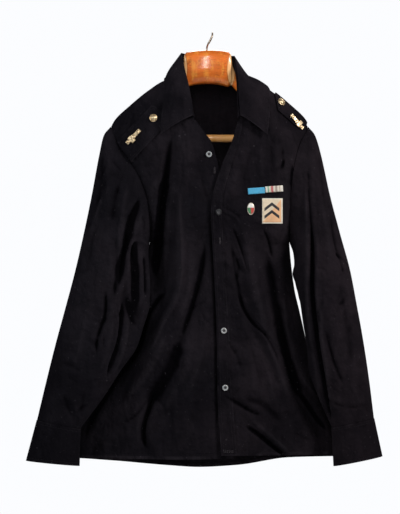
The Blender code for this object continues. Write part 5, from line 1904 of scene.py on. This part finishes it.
def smoothed(node, look, crease):
    """A finer copy of a hard solid: merged, its sharp edges held, subdivided and dressed."""
    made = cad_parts[node].copy()
    made.data = made.data.copy()
    made.name = f"{node}_shown"
    for key in list(made.keys()):
        del made[key]
    made.parent = None
    bpy.context.scene.collection.objects.link(made)
    chosen(made)
    bpy.ops.object.mode_set(mode="EDIT")
    bpy.ops.mesh.select_all(action="SELECT")
    bpy.ops.mesh.remove_doubles(threshold=MERGE_RUN)
    bpy.ops.mesh.tris_convert_to_quads(face_threshold=FLAT_ANGLE, shape_threshold=FLAT_ANGLE)
    if crease:
        bpy.ops.mesh.select_mode(type="EDGE")
        bpy.ops.mesh.select_all(action="DESELECT")
        bpy.ops.mesh.edges_select_sharp(sharpness=CREASE_ANGLE)
        bpy.ops.transform.edge_crease(value=crease)
    bpy.ops.object.mode_set(mode="OBJECT")
    smooth = made.modifiers.new("smooth", "SUBSURF")
    smooth.levels = smooth.render_levels = FINER_LEVELS
    bpy.ops.object.modifier_apply(modifier="smooth")
    bpy.ops.object.shade_smooth()
    return dressed(made, look, node)


def lamp(name, power, size, place, colour):
    """A rectangular lamp that aims at the shirt's middle."""
    data = bpy.data.lights.new(name, "AREA")
    data.energy = power
    data.shape = "RECTANGLE"
    data.size, data.size_y = size
    data.color = colour
    made = bpy.data.objects.new(name, data)
    made.location = place
    made.rotation_mode = "QUATERNION"
    made.rotation_quaternion = (Vector(LAMP_AIM) - Vector(place)).to_track_quat("-Z", "Y")
    bpy.context.scene.collection.objects.link(made)


class SHIRT_OT_body(bpy.types.Operator):
    """Makes the fronts, the back and the placket"""

    bl_idname = "shirt.body"
    bl_label = "Body"

    def execute(self, context):
        cloth = grids()
        for name in ("front_left", "front_right", "back"):
            outer = cloth[name]
            away = edge_distance(outer, ("low",))
            hem = 1 - eased((away - HEM_LINE + 1) / 2)
            shown = outer + normals_of(outer) * (HEM_STEP * hem)[..., None]
            made = cloth_object(f"{name}_cloth", shown, panel_inside(outer), away + (EDGE_LINE - HEM_LINE),
                                shade=body_shade(outer, name != "back"))
            sheet_of_twill(made, name, outer, FLAT[name])
        band = cloth["placket"]
        made = cloth_object("placket_cloth", moved_out(band, ON_BAND), moved_out(band, BAND_LIFT),
                            edge_distance(band, ("first", "last", "low")), shade=body_shade(band, True))
        sheet_of_twill(made, "placket", band, FLAT["placket"])
        return {"FINISHED"}


class SHIRT_OT_sleeves(bpy.types.Operator):
    """Makes both sleeves and their cuffs"""

    bl_idname = "shirt.sleeves"
    bl_label = "Sleeves and cuffs"

    def execute(self, context):
        cloth = grids()
        for side in ("right", "left"):
            name = f"sleeve_{side}"
            sleeve = cloth[name]
            made = cloth_object(f"{name}_cloth", sleeve, sleeve_inside(sleeve), edge_distance(sleeve, ()),
                                True, SHADES[name])
            sheet_of_twill(made, name, sleeve, FLAT["sleeve"], True)
            allowance = seam_grid(side == "left")
            made = cloth_object(f"seam_{side}_cloth", allowance, moved_out(allowance, -SEAM_WALL, True),
                                edge_distance(allowance, ("top",)), True)
            sheet_of_twill(made, None, allowance, FLAT["seam"], True)
            cuff = cloth[f"cuff_{side}"]
            made = cloth_object(f"cuff_{side}_cloth", cuff, moved_out(cuff, -CUFF_WALL, True),
                                edge_distance(cuff, ("top", "low")), True)
            sheet_of_twill(made, f"cuff_{side}", cuff, FLAT["cuff"], True)
        return {"FINISHED"}


class SHIRT_OT_collar(bpy.types.Operator):
    """Makes the collar's leaf and stand and both shoulder straps"""

    bl_idname = "shirt.collar"
    bl_label = "Collar and straps"

    def execute(self, context):
        cloth = grids()
        for name, key, wall, borders in (("collar_leaf", "leaf", LEAF_WALL, ("low", "first", "last")),
                                         ("collar_stand", "stand", STAND_WALL, ("top",))):
            grid = cloth[key]
            made = cloth_object(f"{name}_cloth", grid, moved_out(grid, -wall), edge_distance(grid, borders))
            sheet_of_twill(made, name, grid, FLAT[name])
        for name in ("strap_left", "strap_right"):
            strap = cloth[name]
            made = cloth_object(f"{name}_cloth", moved_out(strap, ON_STRAP), moved_out(strap, STRAP_LIFT),
                                edge_distance(strap, BORDERS))
            sheet_of_twill(made, name, strap, FLAT["strap"])
        return {"FINISHED"}


class SHIRT_OT_sewing(bpy.types.Operator):
    """Sews the visible lines of stitches"""

    bl_idname = "shirt.sewing"
    bl_label = "Stitches"

    def execute(self, context):
        cloth = grids()
        band = moved_out(cloth["placket"], ON_BAND)
        straps = [moved_out(cloth[name], ON_STRAP) for name in ("strap_left", "strap_right")]
        cuffs = [round_again(cloth[name]) for name in ("cuff_left", "cuff_right")]
        stitches("hem_stitches", [border_line(cloth[name], "low", HEM_LINE, HEM_TRIM)
                                  for name in ("front_left", "front_right", "back")], "thread")
        stitches("placket_stitches", [border_line(band, border, EDGE_LINE, BAND_TRIM)
                                      for border in ("first", "last")], "thread")
        stitches("foot_stitches", [border_line(band, "low", rise, FOOT_TRIM) for rise in FOOT_LINES],
                 "pale_thread")
        lines = []
        for x, z in BUTTONHOLES:
            up = z + BUTTONHOLE_LONG * np.linspace(-0.5, 0.5, BUTTONHOLE_SPOTS)
            for side in BUTTONHOLE_SIDES:
                across = np.full(len(up), x + side)
                line = grid_of(across, body_y(across, up, True) - ON_BAND, up)
                lines.append((line, np.tile((0.0, -1.0, 0.0), (len(up), 1))))
        stitches("buttonhole_stitches", lines, "pale_thread", *BUTTONHOLE_STITCH)
        stitches("collar_stitches", [border_line(cloth["leaf"], border, EDGE_LINE, LEAF_TRIM)
                                     for border in ("low", "first", "last")], "thread")
        stitches("strap_stitches", [border_line(strap, border, STRAP_LINE, STRAP_TRIM)
                                    for strap in straps for border in BORDERS], "thread")
        stitches("cuff_stitches", [border_line(cuff, border, EDGE_LINE)
                                   for cuff in cuffs for border in ("top", "low")], "thread")
        return {"FINISHED"}


class SHIRT_OT_badges(bpy.types.Operator):
    """Makes the two ribbons and the chest patch"""

    bl_idname = "shirt.badges"
    bl_label = "Ribbons and patch"

    def execute(self, context):
        for name, badge, look, slot in (
                ("ribbon_blue", RIBBON_BLUE, "blue", "ribbon_blue_cloth"),
                ("ribbon_striped", RIBBON_STRIPED, "striped", "ribbon_cream_cloth"),
                ("chest_patch", PATCH, "patch", "patch_cloth")):
            grid = badge_grid(badge)
            outer = crowned(grid, BADGE_LIFT, badge["thick"], badge["rim"])
            made = cloth_object(f"{name}_piece", outer, moved_out(grid, BADGE_LIFT),
                                edge_distance(grid, BORDERS))
            dressed(made, look, name)
            declared(grid, (badge["wide"] * MM, badge["high"] * MM))
        return {"FINISHED"}


class SHIRT_OT_hanger(bpy.types.Operator):
    """Makes the hanger's wood, its bar and its hook finer than their solids"""

    bl_idname = "shirt.hanger"
    bl_label = "Hanger"

    def execute(self, context):
        wood = smoothed("hanger_wood", "wood", WOOD_CREASE)
        for vertex in wood.data.vertices:
            x, z = vertex.co.x / MM, vertex.co.z / MM
            end = eased((BLOCK_MIDDLE - x) / BLOCK_HALF)
            end *= 1 - eased((BLOCK_MIDDLE - BLOCK_HALF - x) / BLOCK_FADE)
            rise = eased((z - BLOCK_LOW) / BLOCK_RISE)
            under = eased((x - UNDER_START) / UNDER_RUN) * eased((UNDER_END - x) / UNDER_RUN)
            under *= eased((UNDER_TOP - z) / UNDER_RUN)
            vertex.co.x -= BLOCK_WIDER * MM * float(end) * float(rise)
            vertex.co.z += BLOCK_HIGHER * MM * float(rise)
            vertex.co.z += UNDER_HIGHER * MM * float(under)
        smoothed("hanger_hook", "wire", 0.0)
        low, high = [Vector(corner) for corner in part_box("hanger_bar")]
        alone()
        bpy.ops.mesh.primitive_cylinder_add(
            vertices=BAR_SIDES, radius=(high.z - low.z) / 2, depth=high.x - low.x,
            location=(low + high) / 2, rotation=(0.0, math.pi / 2, 0.0))
        bar = added("hanger_bar_shown")
        inset_faces(bar, faces_end, BAR_END_TURNS, True)
        bevelled(bar, BAR_BEVEL)
        dressed(bar, "bar", "hanger_bar")
        return {"FINISHED"}


class SHIRT_OT_buttons(bpy.types.Operator):
    """Makes one shirt button and one strap button and sets copies in their places"""

    bl_idname = "shirt.buttons"
    bl_label = "Buttons"

    def execute(self, context):
        radius = context.scene.shirt_sizes.button_radius
        first = turned_piece("button", radius, BUTTON_DEEP, BUTTON_TURNS)
        for place in BUTTON_HOLES:
            bored(first, [share * radius for share in place], BUTTON_HOLE * radius)
        bevelled(first, BUTTON_BEVEL)
        first.data.materials.append(look_named("pearl"))
        first.data.materials.append(look_named("socket"))
        for polygon in first.data.polygons:
            out = math.hypot(polygon.center.x, polygon.center.y)
            polygon.material_index = int(out < SOCKET_REACH * radius and polygon.center.z > SOCKET_BACK)
        spots = [(name, *facing(x, z, under + gap)) for name, x, z, under, gap in BUTTONS]
        for side in ("right", "left"):
            cuff = grids()[f"cuff_{side}"]
            row, column = CUFF_STEPS[0] // 2, int(CUFF_BUTTON_TURN * CUFF_STEPS[1])
            column = CUFF_STEPS[1] - 1 - column if side == "left" else column
            out = Vector(normals_of(cuff, True)[row, column])
            here = Vector(cuff[row, column]) + out * CUFF_BUTTON_GAP
            spots.append((f"cuff_button_{side}", here, out.to_track_quat("Z", "Y").to_matrix().to_4x4()))
        threads = []
        for name, here, turn in spots:
            made = placed(first, name, "pearly_plastic", here, turn)
            # The chest button alone is drawn dark
            if name == DARK_BUTTON:
                made.data.materials[0] = look_named("darker_button")
            upright = turn.to_3x3()
            for across in (-1.0, 1.0):
                ends = [here + upright @ Vector((x, across * x, THREAD_RISE))
                        for x in (-THREAD_HALF, 0.0, THREAD_HALF)]
                threads.append((np.array(ends), np.array([upright.col[2]] * 3)))
        stitches("button_threads", threads, "thread", *THREAD_STITCH)
        bpy.data.objects.remove(first)
        brass = turned_piece("strap_button", BRASS_RADIUS, BRASS_DEEP, BRASS_TURNS)
        bevelled(brass, BRASS_BEVEL)
        brass.data.materials.append(look_named("brass"))
        for name, x, z, under, gap in STRAP_BUTTONS:
            placed(brass, name, "brass", *facing(x, z, under + gap))
        bpy.data.objects.remove(brass)
        return {"FINISHED"}


class SHIRT_OT_pins(bpy.types.Operator):
    """Makes the pin of a shoulder strap, sets both in place and finishes the oval badge"""

    bl_idname = "shirt.pins"
    bl_label = "Pins and oval badge"

    def execute(self, context):
        pin = plate("pin", PIN_BAR, PIN_BAR_TURNS)
        inset_faces(pin, faces_end, (PIN_END,), True)
        parts = [plate("cross", PIN_CROSS, PIN_CROSS_TURNS)]
        for along, radius in BOSSES:
            boss = turned_piece("boss", radius, BOSS_DEEP, BOSS_TURNS, BOSS_SIDES)
            boss.data.transform(Matrix.Translation((along, 0.0, 0.0)))
            parts.append(boss)
        chosen(pin)
        for part in parts:
            part.select_set(True)
        bpy.ops.object.join()
        bevelled(pin, PIN_BEVEL)
        pin.data.materials.append(look_named("brass"))
        for name, x, z, run_x, run_z in PINS:
            here, turn = facing(x, z, ON_STRAP + PIN_GAP)
            out = turn.to_3x3().col[2]
            ends = [facing(x + share * run_x, z + share * run_z, 0.0)[0] for share in (-0.5, 0.5)]
            along = ends[1] - ends[0]
            along = (along - out * along.dot(out)).normalized()
            placed(pin, name, "brass", here, Matrix((along, out.cross(along), out)).transposed().to_4x4())
        bpy.data.objects.remove(pin)
        smoothed("badge_oval", "enamel", OVAL_CREASE)
        return {"FINISHED"}


class SHIRT_OT_stage(bpy.types.Operator):
    """Sets the floor, the light and the camera"""

    bl_idname = "shirt.stage"
    bl_label = "Stage"

    def execute(self, context):
        scene, sizes = context.scene, context.scene.shirt_stage
        alone()
        bpy.ops.mesh.primitive_circle_add(vertices=FLOOR_SIDES, radius=FLOOR_RADIUS, fill_type="NGON",
                                          location=FLOOR_PLACE)
        floor = added("floor")
        floor.data.materials.append(floor_finish())
        for name, setting, share, size, place, colour in LAMPS:
            lamp(name, getattr(sizes, setting) * share, size, place, colour)

        scene.world = bpy.data.worlds.new("studio")
        scene.world.use_nodes = True
        tree = NodeTree(scene.world.node_tree)
        sky = tree.tree.nodes["Background"]
        for slot, value in SKY.items():
            tree.give(sky.inputs[slot], value)
        backdrop = tree.node("Background", values=BACKDROP)
        seen = tree.node("LightPath", output="Is Camera Ray")
        both = tree.node("MixShader", values={0: seen, 1: Wire(tree, sky.outputs[0]), 2: backdrop})
        tree.give(tree.tree.nodes["World Output"].inputs["Surface"], both)
        scene.view_settings.view_transform = "Standard"

        camera = bpy.data.cameras.new("camera")
        camera.sensor_width = SENSOR_WIDE
        camera.lens = camera.sensor_width * sizes.distance / VIEW_HIGH
        made = bpy.data.objects.new("camera", camera)
        made.location = (VIEW_X, VIEW_FRONT - sizes.distance, VIEW_Z)
        made.rotation_euler = (math.pi / 2, 0.0, 0.0)
        scene.collection.objects.link(made)
        scene.camera = made
        return {"FINISHED"}


class SHIRT_PT_panel(bpy.types.Panel):
    """The shirt's pieces, its sizes and colours and its stage"""

    bl_label = "Shirt"
    bl_idname = "SHIRT_PT_panel"
    bl_space_type = "VIEW_3D"
    bl_region_type = "UI"
    bl_category = "Shirt"

    def draw(self, context):
        scene = context.scene
        for operator in OPERATORS:
            self.layout.operator(operator.bl_idname)
        for group in (scene.shirt_sizes, scene.shirt_colours, scene.shirt_stage):
            for name in group.__annotations__:
                self.layout.prop(group, name)


OPERATORS = (SHIRT_OT_body, SHIRT_OT_sleeves, SHIRT_OT_collar, SHIRT_OT_sewing, SHIRT_OT_badges,
             SHIRT_OT_hanger, SHIRT_OT_buttons, SHIRT_OT_pins, SHIRT_OT_stage)
CLASSES = (ShirtSizes, ShirtColours, StageSizes) + OPERATORS + (SHIRT_PT_panel,)


def register():
    for item in CLASSES:
        bpy.utils.register_class(item)
    bpy.types.Scene.shirt_sizes = bpy.props.PointerProperty(type=ShirtSizes)
    bpy.types.Scene.shirt_colours = bpy.props.PointerProperty(type=ShirtColours)
    bpy.types.Scene.shirt_stage = bpy.props.PointerProperty(type=StageSizes)


def unregister():
    del bpy.types.Scene.shirt_stage
    del bpy.types.Scene.shirt_colours
    del bpy.types.Scene.shirt_sizes
    for item in reversed(CLASSES):
        bpy.utils.unregister_class(item)


def main():
    register()
    for operator in OPERATORS:
        area, name = operator.bl_idname.split(".")
        getattr(getattr(bpy.ops, area), name)()


if __name__ == "__main__":
    main()
